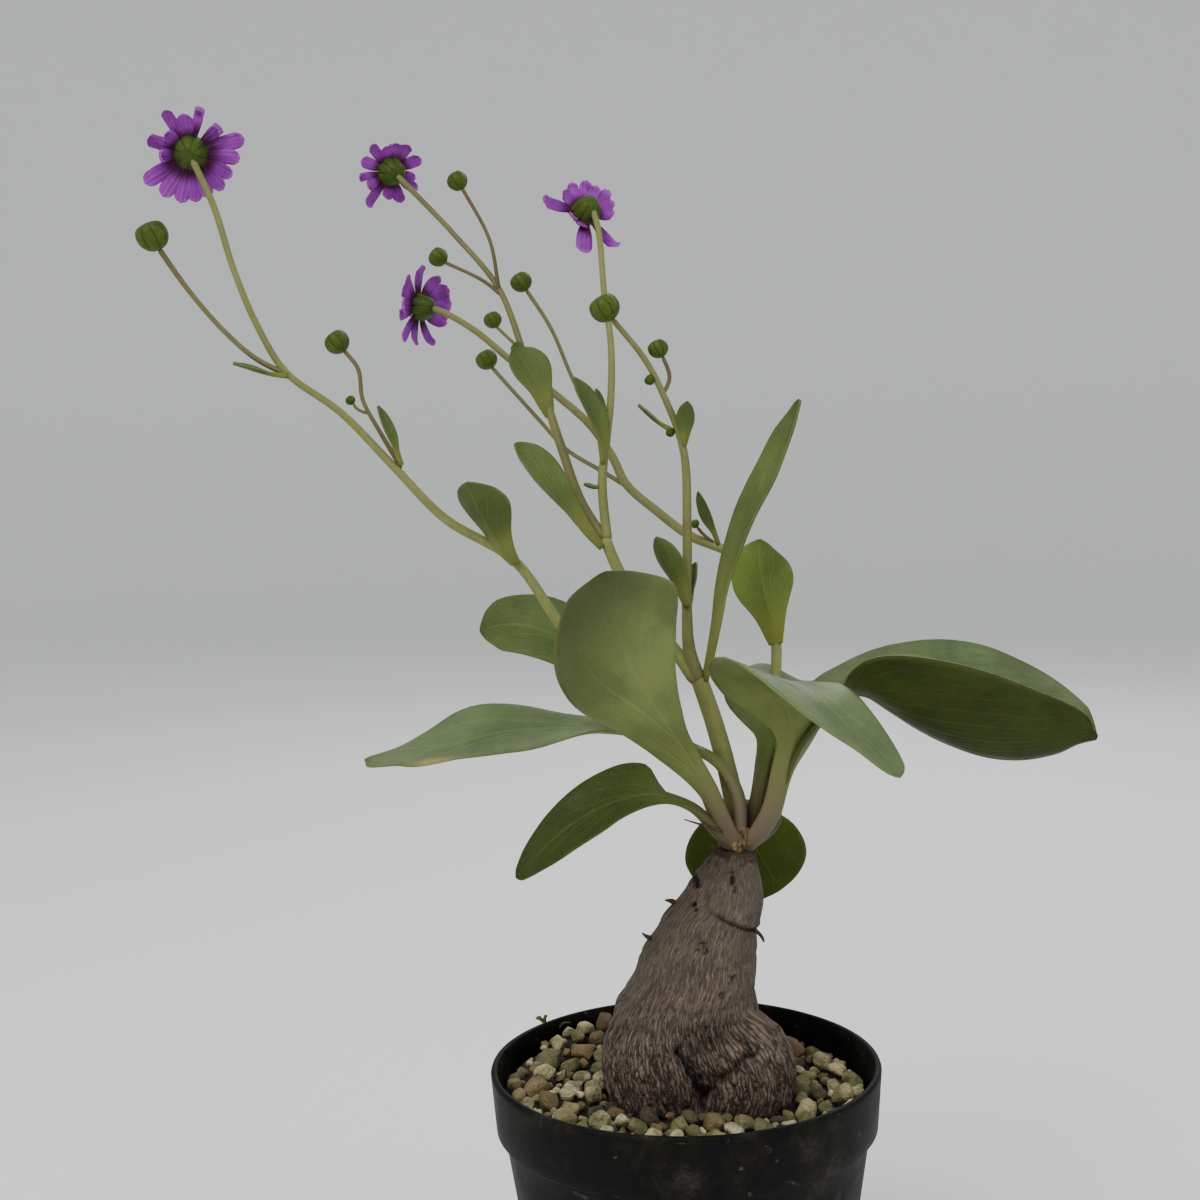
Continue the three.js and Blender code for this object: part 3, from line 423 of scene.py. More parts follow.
def makeFibreGroup():  # long strands: a stretched pattern that gives a height and a mask of the furrows
    group, given, result = newGroup("fibreStrands", [
        ("Vector", "NodeSocketVector", None), ("Scale", "NodeSocketFloat", 1.0),
        ("Stretch", "NodeSocketVector", (1.0, 1.0, 0.12)), ("Twist", "NodeSocketFloat", 0.6)],
        [("Height", "NodeSocketFloat"), ("Furrows", "NodeSocketFloat")])
    stir = addNode(group, "ShaderNodeTexNoise", {"Vector": given["Vector"], "Scale": compute(
        group, "MULTIPLY", given["Scale"], 0.35), "Detail": 2.0})
    push = addNode(group, "ShaderNodeVectorMath", {0: stir.outputs[1], "Scale": given["Twist"]}, operation="SCALE")
    moved = addNode(group, "ShaderNodeVectorMath", {0: given["Vector"], 1: push.outputs[0]}, operation="ADD")
    squeezed = addNode(group, "ShaderNodeVectorMath", {0: moved.outputs[0], 1: given["Stretch"]}, operation="MULTIPLY")
    strands = addNode(group, "ShaderNodeTexNoise", {"Vector": squeezed.outputs[0], "Scale": given["Scale"],
                                                    "Detail": 5.0, "Roughness": 0.62})
    crack = compute(group, "ABSOLUTE", compute(group, "SUBTRACT", strands.outputs[0], 0.5))
    furrows = spread(group, crack, 0.045, 0.0)
    height = compute(group, "SUBTRACT", strands.outputs[0], compute(group, "MULTIPLY", furrows, 0.35))
    group.links.new(height, result["Height"])
    group.links.new(furrows, result["Furrows"])
    return group


def makeWrinkleGroup():  # long raised cells parted by dark gaps
    group, given, result = newGroup("barkWrinkles", [
        ("Vector", "NodeSocketVector", None), ("Scale", "NodeSocketFloat", 1.0),
        ("Stretch", "NodeSocketVector", (1.0, 1.0, 0.15)), ("Twist", "NodeSocketFloat", 0.6)],
        [("Height", "NodeSocketFloat"), ("Gaps", "NodeSocketFloat")])
    stir = addNode(group, "ShaderNodeTexNoise", {"Vector": given["Vector"], "Scale": compute(
        group, "MULTIPLY", given["Scale"], 0.3), "Detail": 3.0})
    centred = addNode(group, "ShaderNodeVectorMath", {0: stir.outputs[1], 1: (0.5, 0.5, 0.5)}, operation="SUBTRACT")
    push = addNode(group, "ShaderNodeVectorMath", {0: centred.outputs[0], "Scale": given["Twist"]}, operation="SCALE")
    moved = addNode(group, "ShaderNodeVectorMath", {0: given["Vector"], 1: push.outputs[0]}, operation="ADD")
    squeezed = addNode(group, "ShaderNodeVectorMath", {0: moved.outputs[0], 1: given["Stretch"]}, operation="MULTIPLY")
    cells = addNode(group, "ShaderNodeTexVoronoi", {"Vector": squeezed.outputs[0], "Scale": given["Scale"]},
                    feature="DISTANCE_TO_EDGE")
    width = spread(group, stir.outputs[0], 0.35, 0.65, 0.08, 0.26)
    gaps = addNode(group, "ShaderNodeMapRange", {"Value": cells.outputs[0], "From Min": width, "From Max": 0.0},
                   interpolation_type="SMOOTHSTEP").outputs[0]
    height = spread(group, cells.outputs[0], 0.0, 0.34)
    group.links.new(height, result["Height"])
    group.links.new(gaps, result["Gaps"])
    return group


patches, leafVeins, fibres, wrinkles = makePatchGroup(), makeVeinGroup(), makeFibreGroup(), makeWrinkleGroup()


def startMaterial(name, roughness=0.6):
    material = bpy.data.materials.new(name)
    material.use_nodes = True
    tree = material.node_tree
    shader = tree.nodes["Principled BSDF"]
    shader.inputs["Roughness"].default_value = roughness
    return material, tree, shader


def readLayer(tree, name, output="Fac"):
    return addNode(tree, "ShaderNodeAttribute", attribute_name=name).outputs[output]


def setBump(tree, shader, height, distance, strength=1.0):
    bump = addNode(tree, "ShaderNodeBump", {"Height": height, "Distance": distance, "Strength": strength})
    tree.links.new(bump.outputs[0], shader.inputs["Normal"])


def leafMaterial(name, upper, lower, vein, stalk, base, count=6.0, slant=0.45, veinShare=0.3):
    material, tree, shader = startMaterial(name, 0.5)
    place = addNode(tree, "ShaderNodeTexCoord").outputs["Object"]
    flow = addNode(tree, "ShaderNodeUVMap", uv_map="flow").outputs[0]
    veins = useGroup(tree, leafVeins, {"Vector": flow, "Count": count, "Slant": slant, "Wander": 0.09})
    under = readLayer(tree, "under")
    tone = useGroup(tree, patches, {"Vector": place, "Colour": rgb(*upper), "Second": rgb(*[0.8 * c for c in upper]),
                                    "Scale": 55.0, "Amount": 0.8, "Speckle": 0.08})
    back = useGroup(tree, patches, {"Vector": place, "Colour": rgb(*lower), "Second": rgb(*[0.78 * c for c in lower]),
                                    "Scale": 60.0, "Amount": 0.8, "Speckle": 0.08})
    skin = blendColour(tree, under, tone["Colour"], back["Colour"])
    skin = blendColour(tree, compute(tree, "MULTIPLY", veins["Net"], 0.07), skin, rgb(*vein))
    skin = blendColour(tree, compute(tree, "MULTIPLY", veins["Veins"], veinShare), skin, rgb(*vein))
    # painted shade towards the leaf tip, from the dark layer, as a darker copy of the lower colour
    skin = blendColour(tree, readLayer(tree, "dark"), skin, rgb(*[0.52 * c for c in lower]))
    skin = blendColour(tree, compute(tree, "MULTIPLY", veins["Margin"], 0.25), skin, rgb(*stalk))
    skin = blendColour(tree, spread(tree, veins["Along"], 0.55, 0.2, 0.0, 0.9), skin, rgb(*stalk))
    crownAway = addNode(tree, "ShaderNodeVectorMath", {0: place, 1: (0.0155, 0.0, 0.148)}, operation="DISTANCE")
    skin = blendColour(tree, spread(tree, crownAway.outputs["Value"], 0.03, 0.008, 0.0, 0.92), skin, rgb(*base))
    skin = blendColour(tree, readLayer(tree, "tone"), skin, rgb(150, 128, 78))
    tree.links.new(skin, shader.inputs["Base Color"])
    tree.links.new(spread(tree, tone["Mask"], 0.0, 1.0, 0.46, 0.6), shader.inputs["Roughness"])
    shader.inputs["Specular IOR Level"].default_value = 0.12
    shader.inputs["Subsurface Weight"].default_value = 0.1
    shader.inputs["Subsurface Scale"].default_value = 0.002
    shader.inputs["Subsurface Radius"].default_value = (0.4, 1.0, 0.2)
    grain = addNode(tree, "ShaderNodeTexNoise", {"Vector": place, "Scale": 900.0, "Detail": 3.0})
    height = compute(tree, "ADD", compute(tree, "MULTIPLY", veins["Veins"], 0.9),
                     compute(tree, "ADD", compute(tree, "MULTIPLY", veins["Net"], 0.3),
                             compute(tree, "MULTIPLY", grain.outputs[0], 0.4)))
    setBump(tree, shader, height, 0.0002, 0.8)
    return material


def stemMaterial():  # green, and purple-brown where tone is high
    material, tree, shader = startMaterial("stemSkin", 0.5)
    place = addNode(tree, "ShaderNodeTexCoord").outputs["Object"]
    tone = readLayer(tree, "tone")
    fresh = useGroup(tree, patches, {"Vector": place, "Colour": rgb(132, 138, 80), "Second": rgb(114, 121, 64),
                                     "Scale": 90.0, "Amount": 0.8, "Speckle": 0.1})
    aged = useGroup(tree, patches, {"Vector": place, "Colour": rgb(74, 58, 46), "Second": rgb(90, 80, 48),
                                    "Scale": 110.0, "Amount": 0.7, "Speckle": 0.14})
    skin = blendColour(tree, tone, fresh["Colour"], aged["Colour"])
    lines = useGroup(tree, fibres, {"Vector": place, "Scale": 900.0, "Stretch": (1.0, 1.0, 0.08), "Twist": 0.0003})
    skin = blendColour(tree, compute(tree, "MULTIPLY", lines["Furrows"], 0.15), skin, rgb(66, 62, 34))
    tree.links.new(skin, shader.inputs["Base Color"])
    shader.inputs["Specular IOR Level"].default_value = 0.15
    shader.inputs["Subsurface Weight"].default_value = 0.08
    shader.inputs["Subsurface Scale"].default_value = 0.0015
    setBump(tree, shader, lines["Height"], 0.0001, 0.5)
    return material


def budMaterial():  # green bracts of buds and flower cups; tone turns the tips purple
    material, tree, shader = startMaterial("budGreen", 0.48)
    place = addNode(tree, "ShaderNodeTexCoord").outputs["Object"]
    flow = addNode(tree, "ShaderNodeUVMap", uv_map="flow").outputs[0]
    parts = addNode(tree, "ShaderNodeSeparateXYZ", {0: flow}).outputs
    green = useGroup(tree, patches, {"Vector": place, "Colour": rgb(66, 84, 18), "Second": rgb(46, 64, 10),
                                     "Scale": 220.0, "Amount": 0.7, "Speckle": 0.12})
    seam = compute(tree, "ABSOLUTE", compute(tree, "SUBTRACT", compute(
        tree, "FRACT", compute(tree, "MULTIPLY", parts[0], 8.0)), 0.5))
    skin = blendColour(tree, spread(tree, seam, 0.12, 0.0, 0.0, 0.7), green["Colour"], rgb(30, 42, 12))
    skin = blendColour(tree, compute(tree, "MULTIPLY", spread(tree, parts[1], 0.82, 1.0), 0.5), skin, rgb(58, 36, 36))
    skin = blendColour(tree, readLayer(tree, "tone"), skin, rgb(34, 44, 16))
    skin = blendColour(tree, readLayer(tree, "dark"), skin, rgb(120, 20, 76))
    tree.links.new(skin, shader.inputs["Base Color"])
    shader.inputs["Specular IOR Level"].default_value = 0.15
    shader.inputs["Subsurface Weight"].default_value = 0.1
    shader.inputs["Subsurface Scale"].default_value = 0.0015
    grain = addNode(tree, "ShaderNodeTexNoise", {"Vector": place, "Scale": 1400.0, "Detail": 2.0})
    height = compute(tree, "ADD", grain.outputs[0], spread(tree, seam, 0.0, 0.12, 0.0, 1.5))
    setBump(tree, shader, height, 0.0002, 0.5)
    return material


def petalMaterial():
    material, tree, shader = startMaterial("petalPurple", 0.6)
    place = addNode(tree, "ShaderNodeTexCoord").outputs["Object"]
    flow = addNode(tree, "ShaderNodeUVMap", uv_map="flow").outputs[0]
    parts = addNode(tree, "ShaderNodeSeparateXYZ", {0: flow}).outputs
    tint = useGroup(tree, patches, {"Vector": place, "Colour": rgb(136, 52, 156), "Second": rgb(104, 30, 122),
                                    "Scale": 150.0, "Amount": 0.9, "Speckle": 0.06})
    lines = addNode(tree, "ShaderNodeMath", {0: compute(tree, "MULTIPLY", parts[0], 25.0)}, operation="SINE").outputs[0]
    skin = blendColour(tree, spread(tree, lines, 0.2, 1.0, 0.0, 0.3), tint["Colour"], rgb(92, 20, 112))
    skin = blendColour(tree, spread(tree, parts[1], 0.86, 1.0, 0.0, 0.35), skin, rgb(170, 96, 186))
    # darker towards the ray base: the bloom's own dark eye together with painted shade round the cup
    skin = blendColour(tree, spread(tree, parts[1], 0.62, 0.3, 0.0, 0.95), skin, rgb(52, 5, 38))
    tree.links.new(skin, shader.inputs["Base Color"])
    shader.inputs["Specular IOR Level"].default_value = 0.15
    shader.inputs["Subsurface Weight"].default_value = 0.12
    shader.inputs["Subsurface Scale"].default_value = 0.001
    setBump(tree, shader, lines, 0.00008, 0.5)
    return material


def discMaterial():
    material, tree, shader = startMaterial("discFlorets", 0.6)
    place = addNode(tree, "ShaderNodeTexCoord").outputs["Object"]
    tint = useGroup(tree, patches, {"Vector": place, "Colour": rgb(196, 150, 40), "Second": rgb(128, 44, 96),
                                    "Scale": 500.0, "Amount": 0.8, "Speckle": 0.2})
    tree.links.new(blendColour(tree, readLayer(tree, "tone"), tint["Colour"], rgb(92, 26, 70)),
                   shader.inputs["Base Color"])
    setBump(tree, shader, tint["Mask"], 0.0002)
    return material


def barkMaterial():  # under says how deeply the skin is wrinkled; dark marks scars and paints shade into creases, cracks and furrows
    material, tree, shader = startMaterial("caudexBark", 0.85)
    place = addNode(tree, "ShaderNodeTexCoord").outputs["Object"]
    grain = readLayer(tree, "grain", "Vector")
    low = readLayer(tree, "under")
    coarse = useGroup(tree, wrinkles, {"Vector": grain, "Scale": 1.4, "Stretch": (1.0, 1.0, 0.1), "Twist": 1.1})
    fine = useGroup(tree, wrinkles, {"Vector": grain, "Scale": 3.0, "Stretch": (1.0, 1.0, 0.1), "Twist": 0.7})
    threads = useGroup(tree, fibres, {"Vector": grain, "Scale": 4.2, "Stretch": (1.0, 1.0, 0.14), "Twist": 0.3})
    base = useGroup(tree, patches, {"Vector": place, "Colour": rgb(132, 118, 104), "Second": rgb(112, 97, 87),
                                    "Scale": 60.0, "Amount": 0.9, "Speckle": 0.1})
    skin = blendColour(tree, compute(tree, "MULTIPLY", low, 0.3), base["Colour"], rgb(120, 99, 90))
    # painted highlight on the ridge tops of the coarse wrinkles
    skin = blendColour(tree, compute(tree, "MULTIPLY", coarse["Height"], spread(tree, threads["Height"], 0.35, 0.6, 0.2, 0.75)),
                       skin, rgb(170, 153, 136))
    # painted shade in the gaps between wrinkles, stronger on the lower lobes
    skin = blendColour(tree, compute(tree, "MULTIPLY", fine["Gaps"], 0.42), skin, rgb(56, 44, 38))
    skin = blendColour(tree, compute(tree, "MULTIPLY", coarse["Gaps"], spread(tree, low, 0.0, 1.0, 0.4, 0.8)), skin,
                       rgb(32, 24, 20))
    skin = blendColour(tree, readLayer(tree, "tone"), skin, rgb(128, 98, 60))
    # painted shade from the dark layer: cracks, ring furrows, the fold line and creases; the same layer carries the
    # dark scar cores and a darker band below the crown
    skin = blendColour(tree, compute(tree, "MINIMUM", readLayer(tree, "dark"), 0.94), skin, rgb(16, 11, 9))
    tree.links.new(skin, shader.inputs["Base Color"])
    shader.inputs["Specular IOR Level"].default_value = 0.2
    height = compute(tree, "ADD", compute(tree, "MULTIPLY", coarse["Height"], spread(tree, low, 0.0, 1.0, 0.6, 1.0)),
                     compute(tree, "ADD", compute(tree, "MULTIPLY", fine["Height"], 0.5),
                             compute(tree, "MULTIPLY", threads["Height"], 0.5)))
    setBump(tree, shader, height, 0.0008, 1.0)
    return material


def scaleMaterial(name, pale, mid):  # dry papery scales and wool of the crown, and dry spurs
    material, tree, shader = startMaterial(name, 0.85)
    place = addNode(tree, "ShaderNodeTexCoord").outputs["Object"]
    tint = useGroup(tree, patches, {"Vector": place, "Colour": rgb(*pale), "Second": rgb(*mid), "Scale": 260.0,
                                    "Amount": 0.9, "Speckle": 0.3})
    lines = useGroup(tree, fibres, {"Vector": place, "Scale": 900.0, "Stretch": (1.0, 1.0, 0.2), "Twist": 0.0006})
    skin = blendColour(tree, compute(tree, "MULTIPLY", lines["Furrows"], 0.6), tint["Colour"], rgb(58, 40, 26))
    skin = blendColour(tree, readLayer(tree, "dark"), skin, rgb(34, 26, 20))
    tree.links.new(skin, shader.inputs["Base Color"])
    shader.inputs["Specular IOR Level"].default_value = 0.15
    setBump(tree, shader, lines["Height"], 0.0006)
    return material


def stoneMaterial():
    material, tree, shader = startMaterial("gravelStones", 0.85)
    place = addNode(tree, "ShaderNodeTexCoord").outputs["Object"]
    tone = readLayer(tree, "tone")
    ramp = addNode(tree, "ShaderNodeValToRGB", {"Fac": tone})
    stops = [(0.0, (28, 30, 31)), (0.07, (44, 44, 40)), (0.1, (78, 82, 46)), (0.3, (112, 112, 74)),
             (0.34, (92, 72, 46)), (0.5, (126, 104, 70)), (0.54, (140, 132, 92)), (0.84, (172, 162, 120)),
             (1.0, (202, 192, 156))]
    ramp.color_ramp.elements.remove(ramp.color_ramp.elements[0])
    ramp.color_ramp.elements[0].position = stops[0][0]
    ramp.color_ramp.elements[0].color = rgb(*stops[0][1])
    for position, colour in stops[1:]:
        ramp.color_ramp.elements.new(position).color = rgb(*colour)
    tint = useGroup(tree, patches, {"Vector": place, "Colour": ramp.outputs[0], "Second": rgb(78, 76, 40),
                                    "Scale": 170.0, "Amount": 0.85, "Speckle": 0.55})
    pits = addNode(tree, "ShaderNodeTexVoronoi", {"Vector": place, "Scale": 900.0})
    pitMask = spread(tree, pits.outputs[0], 0.32, 0.1)
    skin = blendColour(tree, compute(tree, "MULTIPLY", pitMask, 0.3), tint["Colour"], rgb(62, 54, 32))
    # painted shade from the dark layer: darker low between the stones and near the caudex
    skin = blendColour(tree, readLayer(tree, "dark"), skin, rgb(34, 29, 18))
    tree.links.new(skin, shader.inputs["Base Color"])
    rough = addNode(tree, "ShaderNodeTexNoise", {"Vector": place, "Scale": 700.0, "Detail": 5.0, "Roughness": 0.65})
    height = compute(tree, "SUBTRACT", rough.outputs[0], compute(tree, "MULTIPLY", pitMask, 0.3))
    setBump(tree, shader, height, 0.0008)
    return material


def soilMaterial():
    material, tree, shader = startMaterial("growingMix", 0.95)
    place = addNode(tree, "ShaderNodeTexCoord").outputs["Object"]
    grains = addNode(tree, "ShaderNodeTexVoronoi", {"Vector": place, "Scale": 420.0})
    tint = useGroup(tree, patches, {"Vector": place, "Colour": rgb(52, 43, 30), "Second": rgb(32, 27, 20),
                                    "Scale": 120.0, "Amount": 0.9, "Speckle": 0.4})
    skin = blendColour(tree, spread(tree, grains.outputs[0], 0.2, 0.6, 0.0, 0.7), tint["Colour"], rgb(30, 26, 22))
    tree.links.new(skin, shader.inputs["Base Color"])
    setBump(tree, shader, grains.outputs[0], 0.0012)
    return material


def potMaterial():  # black plastic with fine scratches and a little dried dust
    material, tree, shader = startMaterial("potPlastic", 0.45)
    place = addNode(tree, "ShaderNodeTexCoord").outputs["Object"]
    tint = useGroup(tree, patches, {"Vector": place, "Colour": rgb(5, 5, 6), "Second": rgb(11, 12, 12),
                                    "Scale": 26.0, "Amount": 0.7, "Speckle": 0.12})
    scuffs = useGroup(tree, fibres, {"Vector": place, "Scale": 130.0, "Stretch": (1.0, 1.0, 3.4), "Twist": 0.003})
    nicks = useGroup(tree, fibres, {"Vector": place, "Scale": 420.0, "Stretch": (0.4, 0.4, 1.6), "Twist": 0.002})
    spots = addNode(tree, "ShaderNodeTexNoise", {"Vector": place, "Scale": 60.0, "Detail": 6.0, "Roughness": 0.7})
    rare = addNode(tree, "ShaderNodeTexNoise", {"Vector": place, "Scale": 230.0, "Detail": 2.0})
    dust = addNode(tree, "ShaderNodeTexNoise", {"Vector": place, "Scale": 1300.0, "Detail": 2.0})
    worn = compute(tree, "MULTIPLY", scuffs["Furrows"], spread(tree, rare.outputs[0], 0.64, 0.72))
    worn = compute(tree, "MAXIMUM", worn, compute(tree, "MULTIPLY", nicks["Furrows"], spread(
        tree, spots.outputs[0], 0.56, 0.7, 0.0, 0.28)))
    film = compute(tree, "MULTIPLY", spread(tree, spots.outputs[0], 0.45, 0.75, 0.02, 0.2), dust.outputs[0])
    skin = blendColour(tree, film, tint["Colour"], rgb(120, 112, 96))
    skin = blendColour(tree, compute(tree, "MULTIPLY", worn, 0.45), skin, rgb(108, 108, 104))
    tree.links.new(skin, shader.inputs["Base Color"])
    tree.links.new(compute(tree, "ADD", spread(tree, spots.outputs[0], 0.3, 0.7, 0.48, 0.62),
                           compute(tree, "MULTIPLY", worn, 0.3)), shader.inputs["Roughness"])
    shader.inputs["Specular IOR Level"].default_value = 0.06
    setBump(tree, shader, compute(tree, "ADD", dust.outputs[0], compute(tree, "MULTIPLY", worn, -2.0)), 0.00006, 0.6)
    return material


glaucousLeaf = leafMaterial("leafGlaucous", (90, 107, 70), (107, 118, 66), (124, 134, 86), (110, 116, 64), (96, 82, 70),
                            count=4.0, veinShare=0.2)
midLeaf = leafMaterial("leafMid", (80, 96, 50), (72, 88, 40), (112, 124, 74), (98, 108, 52), (76, 64, 54), count=7.0)
deepLeaf = leafMaterial("leafDeep", (47, 62, 21), (56, 72, 22), (84, 100, 46), (88, 102, 44), (80, 68, 54))
# leafShade: its lower colour is painted shade, nearly black-green for the underside of the large right leaf, which
# hangs in shade
shadeLeaf = leafMaterial("leafShade", (92, 108, 72), (44, 55, 10), (66, 80, 26), (74, 78, 40), (72, 60, 48),
                         count=9.0, slant=0.75, veinShare=0.4)
brightLeaf = leafMaterial("leafBright", (112, 132, 60), (104, 124, 56), (126, 142, 66), (118, 126, 56), (100, 92, 60),
                          count=5.0, slant=0.5, veinShare=0.45)
# a darker finish for the low back leaf: painted shade for its place behind the caudex
shadedLowLeaf = leafMaterial("leafLowShaded", (62, 76, 18), (62, 75, 12), (82, 96, 36), (90, 96, 40), (80, 70, 50), count=5.0)
bractLeaf = leafMaterial("bractGreen", (86, 101, 52), (80, 95, 46), (106, 120, 62), (112, 118, 58), (104, 104, 54),
                         count=5.0, slant=0.55, veinShare=0.3)
stemSkin, budGreen, petalPurple, discFlorets = stemMaterial(), budMaterial(), petalMaterial(), discMaterial()
bark, stones, growingMix, potPlastic = barkMaterial(), stoneMaterial(), soilMaterial(), potMaterial()
crownScales = scaleMaterial("crownScales", (128, 105, 72), (84, 64, 44))
dryWood = scaleMaterial("dryWood", (92, 72, 58), (48, 36, 30))
print("materials made")


# ---- pot

potShape = {
    "rimRadius": 52.5, "height": 90.0, "footRadius": 38.0, "wall": 1.4,
    "bandFoot": 73.0, "wallTopRadius": 49.3,
    "columns": 128, "slits": 8, "slitTop": 62.0, "slitInner": 31.0, "slitTurn": 5.0,
}


def makePot(shape):
    bm = newShape()
    foot, top, wall = shape["footRadius"], shape["wallTopRadius"], shape["wall"]
    rim, high, band = shape["rimRadius"], shape["height"], shape["bandFoot"]

    def wallRadius(z):
        return mix(foot, top, z / band)

    heights = [8, 20, 34, 48, shape["slitTop"], 67]
    outside = [(0, 0.4), (20, 0.4), (shape["slitInner"], 0.2), (35, 0), (foot - 1, 0), (foot - 0.3, 0.3), (foot, 1)]
    outside += [(wallRadius(z), z) for z in heights]
    outside += [(top, band - 0.4), (top + 0.3, band), (rim - 1.7, band + 0.3), (rim - 1.15, band + 0.9),
                (rim - 0.9, band + 4), (rim - 0.3, high - 5), (rim - 0.05, high - 1.6), (rim, high - 0.9),
                (rim - 0.25, high - 0.25), (rim - 0.8, high)]
    inner = rim - wall - 0.4
    inside = [(inner + 0.25, high - 0.1), (inner, high - 0.5), (inner - 0.2, high - 4), (inner - 0.7, band + 2),
              (top - wall - 0.1, band - 1)]
    inside += [(wallRadius(z) - wall, z) for z in reversed(heights)]
    inside += [(foot - wall + 0.1, 3), (foot - wall - 0.4, 2.3), (foot - wall - 1.2, 2), (34.5, 2),
               (shape["slitInner"], 2), (20, 2), (0, 2)]
    verts = [bm.verts.new((r, 0, z)) for r, z in outside + inside]
    edges = [bm.edges.new(pair) for pair in zip(verts, verts[1:])]
    bmesh.ops.spin(bm, geom=verts + edges, cent=(0, 0, 0), axis=(0, 0, 1), angle=2 * math.pi,
                   steps=shape["columns"], use_merge=True)
    bmesh.ops.remove_doubles(bm, verts=bm.verts, dist=0.001)
    column = 360 / shape["columns"]
    between = shape["columns"] // shape["slits"]
    for slit in range(shape["slits"]):
        gone = []
        for face in bm.faces:
            middle = face.calc_center_median()
            angle = math.degrees(math.atan2(middle.y, middle.x)) % 360
            reach = math.hypot(middle.x, middle.y)
            if int(angle / column) == slit * between and middle.z < shape["slitTop"] and reach > shape["slitInner"]:
                gone.append(face)
        edgesBefore = {e for f in gone for e in f.edges}
        bmesh.ops.delete(bm, geom=gone, context="FACES")
        loose = [e for e in edgesBefore if e.is_valid and e.is_boundary]
        bmesh.ops.bridge_loops(bm, edges=loose)
    turn = Matrix.Rotation(math.radians(shape["slitTurn"] - column / 2), 3, "Z")
    bmesh.ops.rotate(bm, cent=(0, 0, 0), matrix=turn, verts=bm.verts)
    return finishPiece(bm, "nurseryPot", ["pot"], potPlastic)


makePot(potShape)


# ---- caudex: a leaning trunk over root lobes, one skin, with furrows, scars and creases

caudexShape = {
    "rows": [(58, 2, 6), (62, 3, 12), (70, 3.5, 19), (80, 4, 21.5), (90, 3.6, 22), (98, 1.8, 21), (104, 0.6, 20.3),
             (109, 1.6, 18), (114, 3.6, 16.4), (120, 4.6, 15.5), (125.5, 6.4, 13.6), (127, 7, 13.2),
             (129, 7.6, 13.4), (135, 11, 11.2), (140, 12.3, 9.1), (145, 13.6, 6.4), (149.5, 14.4, 4.6)],
    "lobes": [((-7.3, -4, 92), (15.6, 16.5, 18)), ((15.3, -7, 89.5), (14, 13.5, 16)), ((6, 10, 84), (17, 12, 18))],
    "voxel": 0.6,
    "scars": [  # x, z, front or back, how wide, how tall against that
        (3.8, 140.6, -1, 1.2, 2.8), (13.4, 141.4, -1, 1.2, 2.8), (5.2, 124.8, -1, 2.9, 1), (12.5, 116.5, -1, 1.4, 1),
        (9, 112.5, -1, 1.7, 1), (16, 99.5, -1, 1.6, 1), (3.5, 134.5, -1, 0.7, 4), (6, 131, 1, 2.6, 1.2),
        (0, 116, 1, 2.8, 1), (13, 139, 1, 1.4, 2.2), (-6, 112, 1, 2, 1),
    ],
    "creases": [  # front lines of (x, z), depth, half width, how much painted shade
        ([(-2, 98.5), (-0.6, 96.5), (1.2, 93.2), (2.8, 90), (3.8, 82)], 2.4, 1.2, 0.8),
        ([(18, 98), (15.5, 97), (12.5, 95), (8.5, 92), (6.2, 90), (4.2, 85)], 1.3, 0.6, 0.65),
        ([(-19, 102), (-12.5, 104.8), (-6, 102.4), (-2.5, 99.6), (3, 98.6), (9.5, 100.2), (16, 103)], 0.55, 1.3, 0.25),
        ([(3.2, 96), (5, 92), (4.6, 88)], 0.5, 2.4, 0.12),
    ],
}


def nearLine(x, z, line):  # how far a place is from a line of (x, z) points
    best = 99
    for (ax, az), (bx, bz) in zip(line, line[1:]):
        dx, dz = bx - ax, bz - az
        t = min(max(((x - ax) * dx + (z - az) * dz) / (dx * dx + dz * dz), 0), 1)
        best = min(best, math.hypot(x - ax - t * dx, z - az - t * dz))
    return best


def trunkShape(bm, shape):
    rows = shape["rows"]
    low, high = rows[0][0], rows[-1][0]

    def place(u, v):
        z = mix(low, high, v)
        turn = 2 * math.pi * u
        flare = smoothstep(112 - z, 0, 14)
        lumps = 0.3 * math.sin(3 * turn + z * 0.09) + 0.35 * math.cos(5 * turn - z * 0.05)
        radius = (rowValue(rows, z, 2) * (1 - 0.1 * flare) + lumps) * (0 if v in (0, 1) else 1)
        return Vector((rowValue(rows, z, 1) + math.cos(turn) * radius,
                       -math.sin(turn) * radius * mix(0.94, 0.84, flare), z))

    wrapGrid(bm, 64, 60, place)
    for centre, radii in shape["lobes"]:
        lobe = bmesh.ops.create_uvsphere(bm, u_segments=48, v_segments=32, radius=1)["verts"]
        bmesh.ops.scale(bm, vec=radii, verts=lobe)
        bmesh.ops.translate(bm, vec=centre, verts=lobe)


def oneSkin(bm, voxel):  # joins overlapping closed forms under one even skin
    mesh = bpy.data.meshes.new("draft")
    bm.to_mesh(mesh)
    bm.free()
    draft = bpy.data.objects.new("draft", mesh)
    bpy.context.scene.collection.objects.link(draft)
    remesh = draft.modifiers.new("skin", "REMESH")
    remesh.mode = "VOXEL"
    remesh.voxel_size = voxel
    skinned = draft.evaluated_get(bpy.context.evaluated_depsgraph_get()).to_mesh()
    joined = newShape()
    joined.from_mesh(skinned)
    bpy.data.objects.remove(draft)
    bpy.data.meshes.remove(mesh)
    return joined


